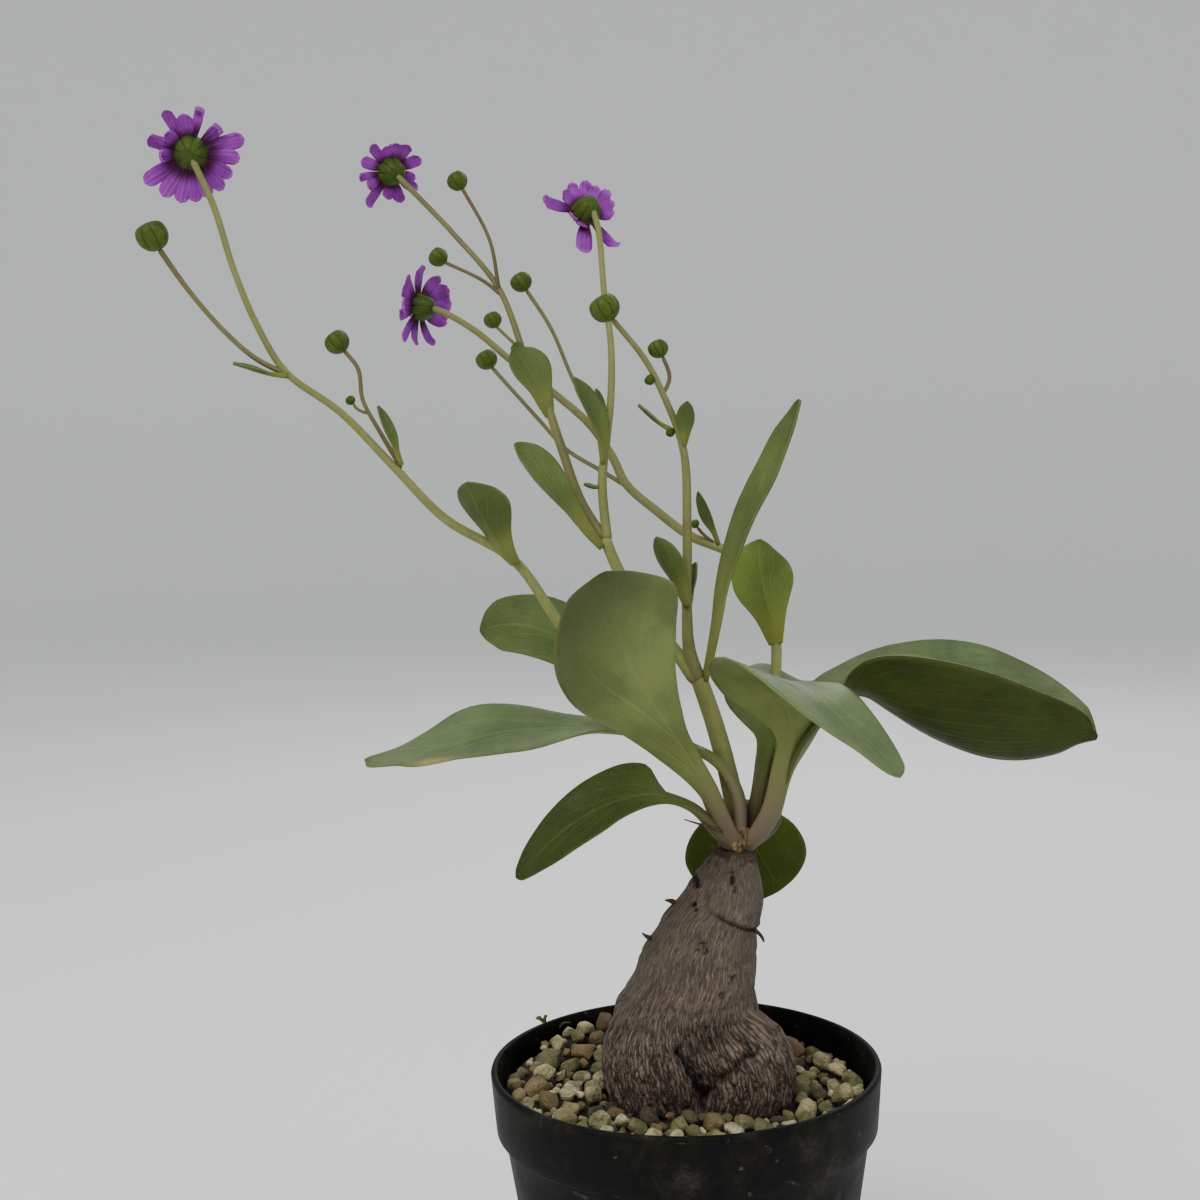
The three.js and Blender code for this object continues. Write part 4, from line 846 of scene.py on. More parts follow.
def makeCaudex(shape):
    draft = newShape()
    trunkShape(draft, shape)
    bm = oneSkin(draft, shape["voxel"])
    for _ in range(10):
        bmesh.ops.smooth_vert(bm, verts=bm.verts, factor=0.5, use_axis_x=True, use_axis_y=True, use_axis_z=True)
    bm.normal_update()
    grain, dark = bm.verts.layers.float_vector["grain"], bm.verts.layers.float["dark"]
    tone, under = bm.verts.layers.float["tone"], bm.verts.layers.float["under"]
    moves = []
    for v in bm.verts:
        p = v.co
        turn = math.atan2(p.y, p.x - rowValue(shape["rows"], p.z, 1))
        v[grain] = (math.cos(turn) * 17, math.sin(turn) * 17, p.z)
        strand = Vector((math.cos(turn) * 17, math.sin(turn) * 17, p.z * 0.15)) + noise.noise_vector(p * 0.13)
        lowShare = smoothstep(p.z + 3 * noise.noise(p * 0.15), 110, 99)
        v[under] = mix(0.15, 1, lowShare)
        coarse = noise.noise(strand * 0.45)
        crack = 1 - smoothstep(abs(coarse), 0, 0.1)
        height = coarse * mix(0.25, 0.6, lowShare) - crack * mix(0.1, 0.35, lowShare)
        height += noise.noise(strand * 1.05) * mix(0.12, 0.24, lowShare) + noise.noise(p * 0.09) * 0.8
        height += 0.5 * lowShare * noise.noise(p * 0.32)
        # painted shade along the furrow cracks, stronger low down
        shade = crack * mix(0.05, 0.3, lowShare)
        # two ring furrows, sunk and darkened with painted shade
        for ring, depth in ((119, 0.28), (108.5, 0.3)):
            line = ring + 1.6 * noise.noise(Vector((turn * 1.5, ring, 0)))
            height -= depth * math.exp(-((p.z - line) / 0.8) ** 2)
            shade += depth * 0.5 * math.exp(-((p.z - line) / 0.7) ** 2)
        # a fold line on the front, sunk and darkened with painted shade
        if p.y < 0 and 5 < p.x < 21:
            line = 130.6 - 0.58 * (p.x - 12)
            cut = math.exp(-((p.z - line) / 0.5) ** 2) * smoothstep(p.x, 5, 10)
            height += 0.5 * math.exp(-((p.z - line - 1.5) / 1.2) ** 2) * smoothstep(p.x, 6, 12) - 0.9 * cut
            shade += 0.9 * cut
        # scars: sunk with a raised lip; their dark cores are the scars' own colour with painted shade in the hollow
        for sx, sz, side, size, tall in shape["scars"]:
            away = math.hypot(p.x - sx + 0.9 * noise.noise(p * 0.35), (p.z - sz) / tall)
            if p.y * side > 0 and away < size * 2:
                torn = 1 if tall > 2 else 1 - smoothstep(abs(noise.noise(p * 0.6)), 0.03, 0.26)
                core = (1 - smoothstep(away + noise.noise(p * 0.9), 0.35 * size, size)) * mix(0.25, 1, torn)
                height += 0.35 * math.exp(-((away - size * 0.8) / 0.8) ** 2) - 0.8 * core
                shade += core * 0.9
        # creases between the lobes, sunk and darkened with painted shade
        if p.y < 0 and p.z < 108:
            x, z = p.x + 0.8 * noise.noise(p * 0.4), p.z + 0.8 * noise.noise(p * 0.4 + Vector((9, 0, 0)))
            for line, depth, half, darkness in shape["creases"]:
                pull = math.exp(-(nearLine(x, z, line) / half) ** 2)
                height -= depth * pull
                shade += darkness * pull
        v[tone] = smoothstep(p.z + noise.noise(p * 0.5) * 2, 147.2, 149.4) * 0.7
        shade += 0.65 * smoothstep(p.z + noise.noise(p * 0.55) * 4, 144.5, 147.5) * (1 - v[tone])
        # dark takes the painted shade, the dark scar cores and the darker band below the crown to the bark
        v[dark] = min(shade, 1)
        moves.append(v.normal * height)
    for v, move in zip(bm.verts, moves):
        v.co += move
    bmesh.ops.smooth_vert(bm, verts=bm.verts, factor=0.2, use_axis_x=True, use_axis_y=True, use_axis_z=True)
    return finishPiece(bm, "caudexTrunk", ["caudex"], bark)


caudexPiece = makeCaudex(caudexShape)


# ---- growing mix and gravel

gravelBed = {
    "top": 81.6, "tilt": (-0.035, 0.04), "mound": (-24, 38, 22, 2.6), "reach": 49.4,
    "sizes": (2.5, 4.3), "small": (1.3, 2.3),
    "tries": 5200, "smallTries": 5200, "shapes": 9, "points": 11, "seed": 7,
}


def bedHeight(x, y):
    bed = gravelBed
    mx, my, wide, tall = bed["mound"]
    mound = tall * math.exp(-((x - mx) ** 2 + (y - my) ** 2) / wide ** 2)
    return bed["top"] + bed["tilt"][0] * x + bed["tilt"][1] * y + mound


def makeMix(bed):
    bm = newShape()
    profile = [(0, 2.4), (34, 2.4), (36, 3.4), (46.2, 70), (47.6, 74), (48.8, 76), (48.8, 78)]
    profile += [(r, 78) for r in (45, 41, 37, 33, 29, 25, 20, 15, 10, 5, 0)]
    verts = [bm.verts.new((r, 0, z)) for r, z in profile]
    edges = [bm.edges.new(pair) for pair in zip(verts, verts[1:])]
    bmesh.ops.spin(bm, geom=verts + edges, cent=(0, 0, 0), axis=(0, 0, 1), angle=2 * math.pi, steps=72, use_merge=True)
    bmesh.ops.remove_doubles(bm, verts=bm.verts, dist=0.001)
    for v in bm.verts:
        if v.co.z > 77:
            v.co.z = bedHeight(v.co.x, v.co.y) - 1.6 + 1.6 * noise.noise(v.co * 0.25)
    return finishPiece(bm, "growingMix", [], growingMix)


def stoneShapes(bed, pick):
    meshes = []
    for i in range(bed["shapes"]):
        bm = bmesh.new()
        for k in range(bed["points"]):
            height = 1 - 2 * (k + 0.5) / bed["points"]
            turn = k * 2.4 + pick.uniform(-0.5, 0.5)
            flat = math.sqrt(1 - height * height)
            reach = pick.uniform(0.84, 1.16)
            bm.verts.new(Vector((math.cos(turn) * flat, math.sin(turn) * flat, height)) * reach)
        hull = bmesh.ops.convex_hull(bm, input=bm.verts)
        bmesh.ops.delete(bm, geom=[g for g in hull["geom_interior"] if isinstance(g, bmesh.types.BMVert)],
                         context="VERTS")
        bmesh.ops.dissolve_limit(bm, angle_limit=0.3, verts=bm.verts, edges=bm.edges)
        bmesh.ops.bevel(bm, geom=bm.edges[:], offset=0.13, affect="EDGES", segments=1, profile=0.5, material=-1)
        bmesh.ops.smooth_vert(bm, verts=bm.verts, factor=0.12, use_axis_x=True, use_axis_y=True, use_axis_z=True)
        mesh = bpy.data.meshes.new("stoneDraft")
        bm.to_mesh(mesh)
        bm.free()
        meshes.append(mesh)
    return meshes


def makeGravel(bed, caudex):
    pick = random.Random(bed["seed"])
    shapes = stoneShapes(bed, pick)
    bm = newShape()
    tone, dark = bm.verts.layers.float["tone"], bm.verts.layers.float["dark"]
    taken = []

    def layStone(size, squeeze, depth):
        reach = (bed["reach"] - size * 0.95) * math.sqrt(pick.random())
        turn = pick.random() * 2 * math.pi
        spot = Vector((reach * math.cos(turn), reach * math.sin(turn), 0))
        spot.z = bedHeight(spot.x, spot.y) + depth * size
        if any((spot - other).length < squeeze * (size + taken[i][1]) for i, (other, _) in enumerate(taken)):
            return
        _, near, normal, _ = caudex.closest_point_on_mesh(spot * 0.001)
        away = (spot * 0.001 - near).length * 1000
        if (spot * 0.001 - near).dot(normal) < 0 or away < size * 0.72:
            return
        taken.append((spot, size))
        start = len(bm.verts)
        bm.from_mesh(shapes[pick.randrange(len(shapes))])
        bm.verts.ensure_lookup_table()
        verts = bm.verts[start:]
        stretch = Vector((pick.uniform(0.95, 1.3), pick.uniform(0.8, 1.05), pick.uniform(0.68, 0.95))) * size
        bmesh.ops.scale(bm, vec=stretch, verts=verts)
        turns = Euler((pick.uniform(-0.7, 0.7), pick.uniform(-0.7, 0.7), pick.uniform(0, 6.28)))
        bmesh.ops.rotate(bm, cent=(0, 0, 0), matrix=turns.to_matrix(), verts=verts)
        bmesh.ops.translate(bm, vec=spot, verts=verts)
        colour = pick.random()
        for v in verts:
            v[tone] = colour
            # painted shade: darker where a stone dips below the bed surface among its neighbours, and close to the
            # caudex
            v[dark] = 0.55 * smoothstep(v.co.z, bedHeight(v.co.x, v.co.y) + 0.6, bedHeight(v.co.x, v.co.y) - 2)
            v[dark] = max(v[dark], 0.25 * smoothstep(away, 7, 3))

    for _ in range(bed["tries"]):
        layStone(pick.uniform(*bed["sizes"]), 0.84, pick.uniform(0.1, 0.5))
    for _ in range(bed["smallTries"]):
        layStone(pick.uniform(*bed["small"]), 0.78, pick.uniform(-0.3, 0.6))
    for mesh in shapes:
        bpy.data.meshes.remove(mesh)
    print(len(taken), "stones laid")
    return finishPiece(bm, "gravelBed", ["soil_gravel"], stones, smooth=False)


makeMix(gravelBed)
makeGravel(gravelBed, caudexPiece)




# ---- leaves: middle line, ways the upper face looks, and half widths (t, left, right)

leafShapes = {
    "leaf_centre": {
        "finish": "glaucous",
        "rib": [(14.8, -1.8, 148.6), (12.8, -4.6, 152.6), (6, -10, 169), (-2.5, -15, 184), (-11, -21, 199), (-16, -26, 213), (-18, -28, 224.6)],
        "faces": [(0.2, 0.9, 0.3), (0, 0.95, 0.3)],
        "outline": [(0, 2.6, 2.6), (0.2, 2.4, 2.8), (0.4, 2.6, 9.5), (0.52, 5.4, 15), (0.62, 9, 20.5),
            (0.7, 12, 21.5), (0.78, 14.6, 19.5), (0.86, 16.8, 15.5), (0.94, 16, 10.5), (1, 10, 5)],
        "fold": 14,
        # deep: how much painted shade darkens the tip of this leaf
        "deep": 0.85,
    },
    "leaf_left_long": {
        "finish": "glaucous",
        "rib": [(15.8, -1.6, 148.8), (16.2, -2.6, 155), (15.6, -2.4, 163), (11, -1.5, 171), (3, 1.2, 175.6), (-22, 6, 180), (-45, 5, 180), (-66, 4, 176),
            (-84, 4, 173.5)],
        "faces": [(0.8, -0.3, 0.4), (0, -0.28, 0.95)],
        "outline": [(0, 2.2, 2.2), (0.2, 2.4, 2.4), (0.36, 2, 2.2), (0.44, 3.4, 3.4), (0.54, 8, 7), (0.65, 12.5, 10.5),
            (0.78, 15.5, 11), (0.87, 17.5, 8), (0.92, 10, 5.5), (1, 1.5, 2)],
        "dry": [((-64, -11, 170), 9)],
        "fold": 12,
        "wave": 1.3,
    },
    "leaf_left_low": {
        "finish": "deep",
        "rib": [(14.2, -1.6, 149.4), (10.6, -4.2, 152.6), (3, -8.5, 161), (-8, -13, 165), (-19, -16, 163.5), (-30, -18, 158), (-38, -18, 151),
            (-43, -17, 145.5)],
        "faces": [(0.5, -0.2, 0.8), (0, -0.5, 0.86)],
        "outline": [(0, 2.2, 2.2), (0.2, 2.4, 2), (0.345, 3.8, 2.4), (0.36, 4, 3.4), (0.385, 4.5, 10), (0.41, 5, 11.4),
            (0.47, 6.2, 11.6), (0.55, 7.5, 10.6), (0.66, 9.5, 8.8), (0.8, 9, 6.5), (0.92, 5.5, 4), (1, 1.6, 1.6)],
        "fold": 12,
    },
    "leaf_left_back": {
        "finish": "mid",
        "rib": [(11, 4, 154), (4, 9, 170), (-6, 13, 182), (-18, 20, 194), (-32, 27, 203), (-45, 32, 206.5),
            (-54, 33, 205)],
        "faces": [(0.5, -0.7, 0.4), (0.2, -0.75, 0.6)],
        "outline": [(0, 2.2, 2.2), (0.2, 2, 2), (0.4, 4, 4), (0.6, 9, 9), (0.8, 12.5, 11), (0.93, 10, 8),
            (1, 2.5, 2.5)],
    },
    "leaf_right_front": {
        "finish": "glaucous",
        "rib": [(17.6, -1.4, 148.6), (20.4, -3.3, 152), (24, -3.6, 157.5), (27.3, -3, 168), (30, -3, 177), (29, -6, 187),
            (28.5, -13, 193.5), (32, -22, 193), (39, -31, 187), (46, -37.5, 180.5), (52, -42, 174)],
        "faces": [(-0.3, 0.9, 0.2), (-0.2, 0.8, 0.5), (0.1, 0.35, 0.9), (0.38, -0.45, 0.8), (0.4, -0.55, 0.75)],
        "outline": [(0, 2.2, 2.2), (0.1, 3, 3), (0.2, 3, 3), (0.27, 4, 3.5), (0.33, 6.5, 4), (0.39, 10, 7),
            (0.45, 12.5, 16), (0.52, 13.5, 21), (0.6, 13, 20), (0.7, 11.5, 15), (0.83, 8.5, 10), (0.94, 5, 5.5),
            (1, 2.4, 2.4)],
        "fold": 8,
    },
    "leaf_right_large": {  # a deep trough, by its near margin, keel and far margin
        "finish": "shade",
        "near": [(21.4, -2.6, 150), (26.1, -3, 154.9), (27, -3.5, 161.2), (28.9, -4, 167.6), (31.8, -5, 174.2), (35.7, -6, 180.6), (40.3, -8, 186.8),
                 (42.7, -10, 191.2), (44.5, -12.5, 195.7), (48.7, -15.5, 199.3), (56.4, -18, 200.6), (67.6, -19, 199), (78.7, -18.5, 195.7),
                 (89, -16.5, 191.5), (97.7, -14, 187.6), (104.1, -11.5, 184.2), (107.9, -9.8, 181)],
        "keel": [(19.6, 0.4, 148.8), (24.6, 1, 153.5), (25.9, 1.5, 159.9), (28, 2, 166.3), (31, 2, 172.4), (35.4, 1.5, 178.3), (40.4, 0.5, 183.7),
                 (45, -1, 188.4), (50.2, -2, 188.6), (56.3, -3, 184.6), (64.1, -3.5, 179.4), (73.2, -4, 174.7), (82.1, -5, 171.8),
                 (90.9, -6, 171.2), (99, -7, 172.7), (104.5, -8, 175.4), (109, -8.7, 176.5)],
        "far": [(18.4, -1.2, 150), (22.9, -1, 154.8), (23.8, -1, 161.3), (25.6, 0, 167.5), (28.3, 1, 174), (31, 3, 181.5), (34.5, 6, 187.5),
                 (38.5, 9, 191.6), (44.8, 11.5, 194.7), (52.9, 14, 197.9), (63.4, 15.5, 200.2), (75, 16, 200.6), (85, 15, 198.9),
                 (94.1, 12, 195.1), (101.4, 7, 190.9), (106.7, 1, 186.2), (109.9, -4, 182.2)],
        "belly": 0.1,
    },
    "leaf_right_back": {
        "finish": "mid",
        "rib": [(17.6, 1, 149), (21, 2, 160), (23.1, 3, 171.4), (24.3, 6, 176), (25.5, 12, 182), (28, 21, 186.5),
            (33, 31, 188.5), (38, 39, 187)],
        "faces": [(-0.1, -0.9, 0.3), (0, -0.35, 0.95)],
        "outline": [(0, 2.2, 2.2), (0.3, 2, 2), (0.42, 3, 3), (0.48, 7, 5), (0.55, 12, 8), (0.63, 13, 11), (0.75, 11, 12),
            (0.88, 9, 10), (0.96, 6, 6), (1, 3, 3)],
    },
    "leaf_low_back": {
        "finish": "low",
        "rib": [(15, 5, 149), (15.5, 12, 155), (17, 20, 156), (19, 26, 149), (20, 28.5, 140), (20.5, 29, 131),
            (21, 28, 125)],
        "faces": [(0, -0.5, 1), (0, 1, 0.3)],
        "outline": [(0, 2.4, 2.4), (0.2, 2.2, 2.2), (0.4, 6, 6), (0.6, 15, 15), (0.75, 17.5, 17.5), (0.88, 14, 14),
            (0.96, 8, 8), (1, 3, 3)],
        "fold": 6,
    },
}

leafFinish = {"glaucous": glaucousLeaf, "mid": midLeaf, "deep": deepLeaf, "shade": shadeLeaf,
              "low": shadedLowLeaf}
leafNames = {
    "leaf_centre": "centreLeaf", "leaf_left_long": "longLeftLeaf", "leaf_left_low": "lowLeftLeaf",
    "leaf_left_back": "backLeftLeaf", "leaf_right_front": "frontRightLeaf", "leaf_right_large": "largeRightLeaf",
    "leaf_right_back": "backRightLeaf", "leaf_low_back": "lowBackLeaf",
}

for node, blade in leafShapes.items():
    bm = newShape()
    addTrough(bm, blade) if "keel" in blade else addBlade(bm, blade)
    finishPiece(bm, leafNames[node], [node], leafFinish[blade["finish"]])


# ---- flower stems: each twig is its points, its radii and how brown it is; buds and cups are
# [foot, way, radius], bracts are [middle line, way the upper face looks, half width, more]

leftStem = {
    "axis": [[(12, -1, 154), (5, 1.5, 169.5), (-1, 3, 178), (-20, 7, 196.5), (-30, 7, 208), (-42, 6, 226),
        (-60, 3, 238),
        (-72, 0, 251.3), (-85.5, -4, 266.5), (-98.5, -8, 277), (-104.8, -11.5, 289), (-109.6, -14, 303),
        (-113.2, -16.5, 318), (-118, -19, 330.5)], [2, 1.7, 1.5, 1.3, 1.05, 0.9, 0.9]],
    "twigs": [
        [[(-97.5, -7.5, 276), (-105.5, -11, 280.5), (-112.5, -15.5, 287.5), (-120, -19.5, 297.5),
            (-126, -23, 307.5)], (0.95, 0.8, 0.9)],
        [[(-70.5, 0, 251.5), (-76.5, 1, 262), (-80.5, 2, 270), (-81.5, 3, 278),
            (-85.5, 4, 283.5)], [0.9, 0.75, 0.7, 0.75]],
        [[(-78.6, 1.6, 266), (-82, 2.5, 267.5), (-83.5, 3, 269.5)], [0.5, 0.5]],
    ],
    "brown": [0.6, 0.75, 0.8],
    "end": 0.25,
    "buds": [
        [(-125.8, -22.8, 307), (-0.35, -0.3, 0.9), 3.9],
        [(-85.2, 4, 283), (-0.6, 0.1, 0.8), 3.2],
        [(-83.2, 3, 269), (-0.6, 0.2, 0.8), 1.3],
    ],
    "bracts": [
        [[(-41.8, 4.5, 225.5), (-46, 1, 232), (-50, -4, 240), (-53, -8, 247.5)],
            (0.4, 0.7, 0.5), 8.2, {"widest": 0.66}],
        [[(-98, -8.5, 276), (-104, -11, 277), (-111, -12.5, 279.5)], (0, -0.2, 1), 1.7, {}],
        [[(-70.5, -1, 252.5), (-73, -2.5, 260), (-76, -3, 268)], (0.7, -0.6, 0.2), 1.9, {}],
    ],
}

centreStem = {
    "axis": [[(16, 2.5, 154), (13.5, 4, 168), (10, 4, 182), (6, 4, 194.5)], (2.95, 2.7, 2.45)],
    "twigs": [
        [[(6.5, 4, 192), (-0.5, 5, 202), (-7.5, 7, 211.5), (-14, 9, 222), (-18, 11, 232)], (2.6, 1.85, 1.8, 1.75, 1.7)],
        [[(-17, 10.5, 230), (-18, 14, 246), (-16.5, 17.5, 258), (-15, 20.5, 269), (-14.5, 24, 284), (-16, 28, 299.5),
            (-17, 30.5, 316), (-19, 32, 324)], [1.5, 1.3, 1.2, 1.05, 1.05]],
        [[(-17.5, 11, 230.5), (-24, 16, 241.5), (-29.5, 23, 258), (-33, 29, 269), (-38, 36, 280), (-46, 46, 302.5),
            (-59, 54, 319.5), (-76.2, 59.5, 338.5)], [1.5, 1.4, 1.2, 1, 1]],
        [[(-46, 45.5, 301.5), (-48.5, 48, 317), (-56.3, 50, 332.7)], (0.8, 0.65, 0.7)],
        [[(-45, 45, 300.5), (-51, 48, 305.5), (-62.5, 52, 311.7)], (0.8, 0.65, 0.7)],
        [[(-40, 38.5, 284.5), (-43.5, 40, 288), (-47.3, 41, 291.8)], [0.6, 0.6]],
        [[(6.5, 4, 192), (4, 3, 201), (3.5, 1, 212.5), (4, 0, 233.5), (3.5, 0, 254.5), (-1.5, -1, 269), (-6, -2, 278),
            (-14.6, -4, 289)], [2.4, 1.6, 1.4, 1.3, 1.2, 1, 0.9]],
        [[(-2, -1, 268), (0.4, 1, 273.5), (-1.4, 2, 279.5)], [0.7, 0.65]],
    ],
    "brown": [0.2, 0.3, 0.6, 0.85, 0.85, 0.7, 0.45, 0.85],
    "end": 0.2,
    "buds": [
        [(-56, 50, 332.2), (-0.5, 0.2, 0.8), 2.9],
        [(-62, 52, 311.4), (-0.75, 0.2, 0.65), 2.8],
        [(-47, 41, 291.4), (-0.4, 0.2, 0.9), 2.5],
        [(-40, 37.8, 283.8), (-0.6, -0.4, 0.7), 1.8],
        [(-14.4, -3.9, 288.5), (-0.5, -0.15, 0.85), 3.8, 1.0],
        [(-1.4, 2, 279), (-0.4, 0.2, 0.9), 2.6],
        [(-4, -1.5, 272), (-0.7, -0.3, 0.6), 1.4],
        [(1, 0, 258.5), (-0.8, -0.5, 0.5), 1.2],
    ],
    "bracts": [
        [[(8, 3, 193), (11.5, 2.5, 208), (15, 3, 221), (20.5, 4, 234), (27.5, 4.5, 247.5), (32.5, 5.5, 259),
            (35, 6, 267)],
            (-0.85, -0.35, 0.4), 7.2, {"widest": 0.66, "fold": 22, "thick": 1.1}],
        [[(-18.5, 9.5, 229), (-25, 7.5, 237), (-32, 6, 246), (-41, 5, 257.5)],
            (0.4, -0.6, 0.6), 6.2, {"widest": 0.7}],
        [[(-17.5, 15, 251), (-18, 14, 260), (-21, 14, 267.5), (-25, 15, 275)], (0.6, -0.7, 0.3), 3.8, {}],
        [[(-32, 27.5, 265), (-34, 27, 270.5), (-37.5, 28, 278), (-41.5, 30, 284.5)],
            (0.3, -0.8, 0.4), 6.2, {"widest": 0.62}],
        [[(-31.5, 28, 266.5), (-31.8, 31, 274), (-32.6, 34, 281.5)], (-0.7, 0.4, 0.3), 1.6, {}],
        [[(3.5, -0.5, 213), (1, -3, 220), (-2.5, -5, 227), (-4.5, -6, 232)], (0.4, 0.7, 0.5), 4.2, {"widest": 0.62}],
        [[(4, 1.5, 213), (5.5, 3, 219), (6.5, 4, 224.5)], (-0.8, -0.4, 0.4), 3, {}],
        [[(3.8, -1, 255.5), (4.2, -3, 261), (4.6, -4, 267)], (-0.2, 0.8, 0.4), 2.7, {}],
        [[(0.6, -0.5, 259.5), (-4, -2, 262.5), (-8, -3, 266.5)], (0.3, -0.2, 0.9), 1.3, {}],
        [[(-15.6, 19.4, 265), (-17.5, 18.8, 268.5), (-19, 18.5, 272)], (0.7, -0.6, 0.2), 1.1, {}],
        [[(-18, 13.5, 245.5), (-20.5, 13, 245.2), (-23, 12.5, 246)], (0, -0.3, 0.9), 1.1, {}],
    ],
}

rightStem = {
    "axis": [[(20, 3.5, 154), (24, 6, 166), (26, 9, 175), (28, 14, 191), (28.8, 18, 201.5), (28, 20.5, 209.5),
        (25, 24, 218),
        (18.5, 27, 225), (6.5, 32, 230.5), (-3, 37, 238), (-11, 41, 245.5), (-15, 44, 254), (-21, 48, 263),
        (-30.5, 54, 272), (-44.5, 61, 283.5), (-54, 65.5, 292), (-63, 69.5, 298), (-68.5, 72, 300.5)],
    [1.9, 1.6, 1.5, 1.4, 1.3, 1.1, 1]],
    "twigs": [
        [[(-9.5, 40.5, 244), (-18, 44.5, 249.5), (-28, 49, 256), (-35.5, 53, 264.5),
            (-50, 58, 281.5)], [0.9, 0.8, 0.75, 0.75]],
        [[(-15.5, 44.3, 254.5), (-25.5, 44, 276), (-31.5, 44, 291), (-38.5, 44.5, 302.5)], [0.85, 0.75, 0.7, 0.75]],
        [[(14.5, 28.8, 227.3), (10, 28.5, 231), (8, 28, 233.5)], [0.6, 0.6]],
    ],
    "brown": [0.6, 0.65, 0.8],
    "end": 0.45,
    "buds": [
        [(-49.7, 58, 281), (-0.5, 0.1, 0.85), 3.1],
        [(-38.2, 44.5, 302), (-0.5, 0.1, 0.85), 3],
        [(8.3, 28, 233), (-0.5, -0.1, 0.8), 1.3],
    ],
    "bracts": [
        [[(28.6, 17, 200.5), (27.4, 17.8, 208), (25.6, 19.5, 217), (24.8, 20.5, 224), (25.3, 21, 229.5)],
            (0.1, 0.9, 0.4), 8.8,
            {"widest": 0.58, "fold": 14, "bright": True}],
        [[(14.3, 28, 228), (12, 26.5, 234), (8.5, 25, 243)], (-0.6, -0.6, 0.5), 2, {}],
    ],
}


def paint(bm, verts, index):
    for face in {f for v in verts for f in v.link_faces}:
        face.material_index = index


def addBud(bm, foot, way, radius, purple=0.0):
    dark = bm.verts.layers.float["dark"]

    def place(u, v):
        tip = math.pi * v
        flat = math.sin(tip) ** 0.9
        ribs = 1 + 0.055 * math.cos(16 * math.pi * u) * flat
        height = -math.cos(tip)
        height -= 0.5 * max(height - 0.6, 0)
        turn = 2 * math.pi * u
        return Vector((math.cos(turn) * flat * ribs, math.sin(turn) * flat * ribs, (height + 0.93) * 1.02)) * radius

    verts = wrapGrid(bm, 32, 16, place)
    for v in verts:
        v[dark] = purple * smoothstep(v.co.z, radius * 1.7, radius * 2)
    aim(verts, bm, foot, way)
    paint(bm, verts, 1)


def addCup(bm, foot, way, radius=4.3, height=4.6, sink=1.2):
    def place(u, v):
        turn = 2 * math.pi * u
        lobe = abs(math.cos(4 * turn))
        if v < 0.7:
            t = v / 0.7
            r = radius * mix(0.28, 1, math.sqrt(t)) * (1 + 0.05 * math.cos(8 * turn) * t)
            z = t * height + 0.9 * lobe * t ** 3
        else:
            t = (v - 0.7) / 0.3
            r = radius * mix(0.94, 0, t) * (1 + 0.05 * math.cos(8 * turn) * (1 - t))
            z = height + 0.9 * lobe * (1 - t) ** 3 - 0.5 * smoothstep(t, 0, 0.4)
        r *= 0 if v in (0, 1) else 1
        return Vector((math.cos(turn) * r, math.sin(turn) * r, z - sink))

    verts = wrapGrid(bm, 48, 20, place, tone=0.25)
    aim(verts, bm, foot, way)
    paint(bm, verts, 1)


def addBract(bm, rib, look, half, more=None, thick=0.9):
    more = {"widest": 0.55, "fold": 20, **(more or {})}
    widest = more["widest"]
    outline = [(0, half * 0.22, half * 0.22), (widest * 0.45, half * 0.5, half * 0.5), (widest, half, half),
               (mix(widest, 1, 0.62), half * 0.78, half * 0.78), (1, half * 0.14, half * 0.14)]
    blade = {"rib": rib, "faces": [look], "outline": outline, "fold": more["fold"], "thick": more.get("thick", thick),
             "stalk": 1.5, "edge": 0.18, "keel": 0.2}
    across, along = (16, 40) if half > 5 else (8, 16)
    verts = addBlade(bm, blade, across, along)
    paint(bm, verts, 3 if more.get("bright") else 2)


def makeStem(name, node, stem, cups):
    bm = newShape()
    points, radii = stem["axis"]
    addTube(bm, points, [r * 0.95 for r in radii], sides=20, rough=0.02, tone=lambda t: max(
        0.8 * smoothstep(t, 0.2, 0), stem["end"] * smoothstep(t, 0.3, 0.6), 0.1))
    for i, twig in enumerate(stem["twigs"]):
        addTube(bm, twig[0], [r * (0.82 if r < 1.3 else 0.92) for r in twig[1]], tone=stem["brown"][i], sides=14,
                rough=0.015)
    for bud in stem["buds"]:
        addBud(bm, *bud)
    for bract in stem["bracts"]:
        addBract(bm, *bract)
    for foot, way in cups:
        addCup(bm, foot, way)
    piece = finishPiece(bm, name, [node], stemSkin)
    for material in (budGreen, bractLeaf, brightLeaf):
        piece.data.materials.append(material)


# ---- blooms: where the face looks, and rays (angle as the front view shows it, length, width, bend, curl)

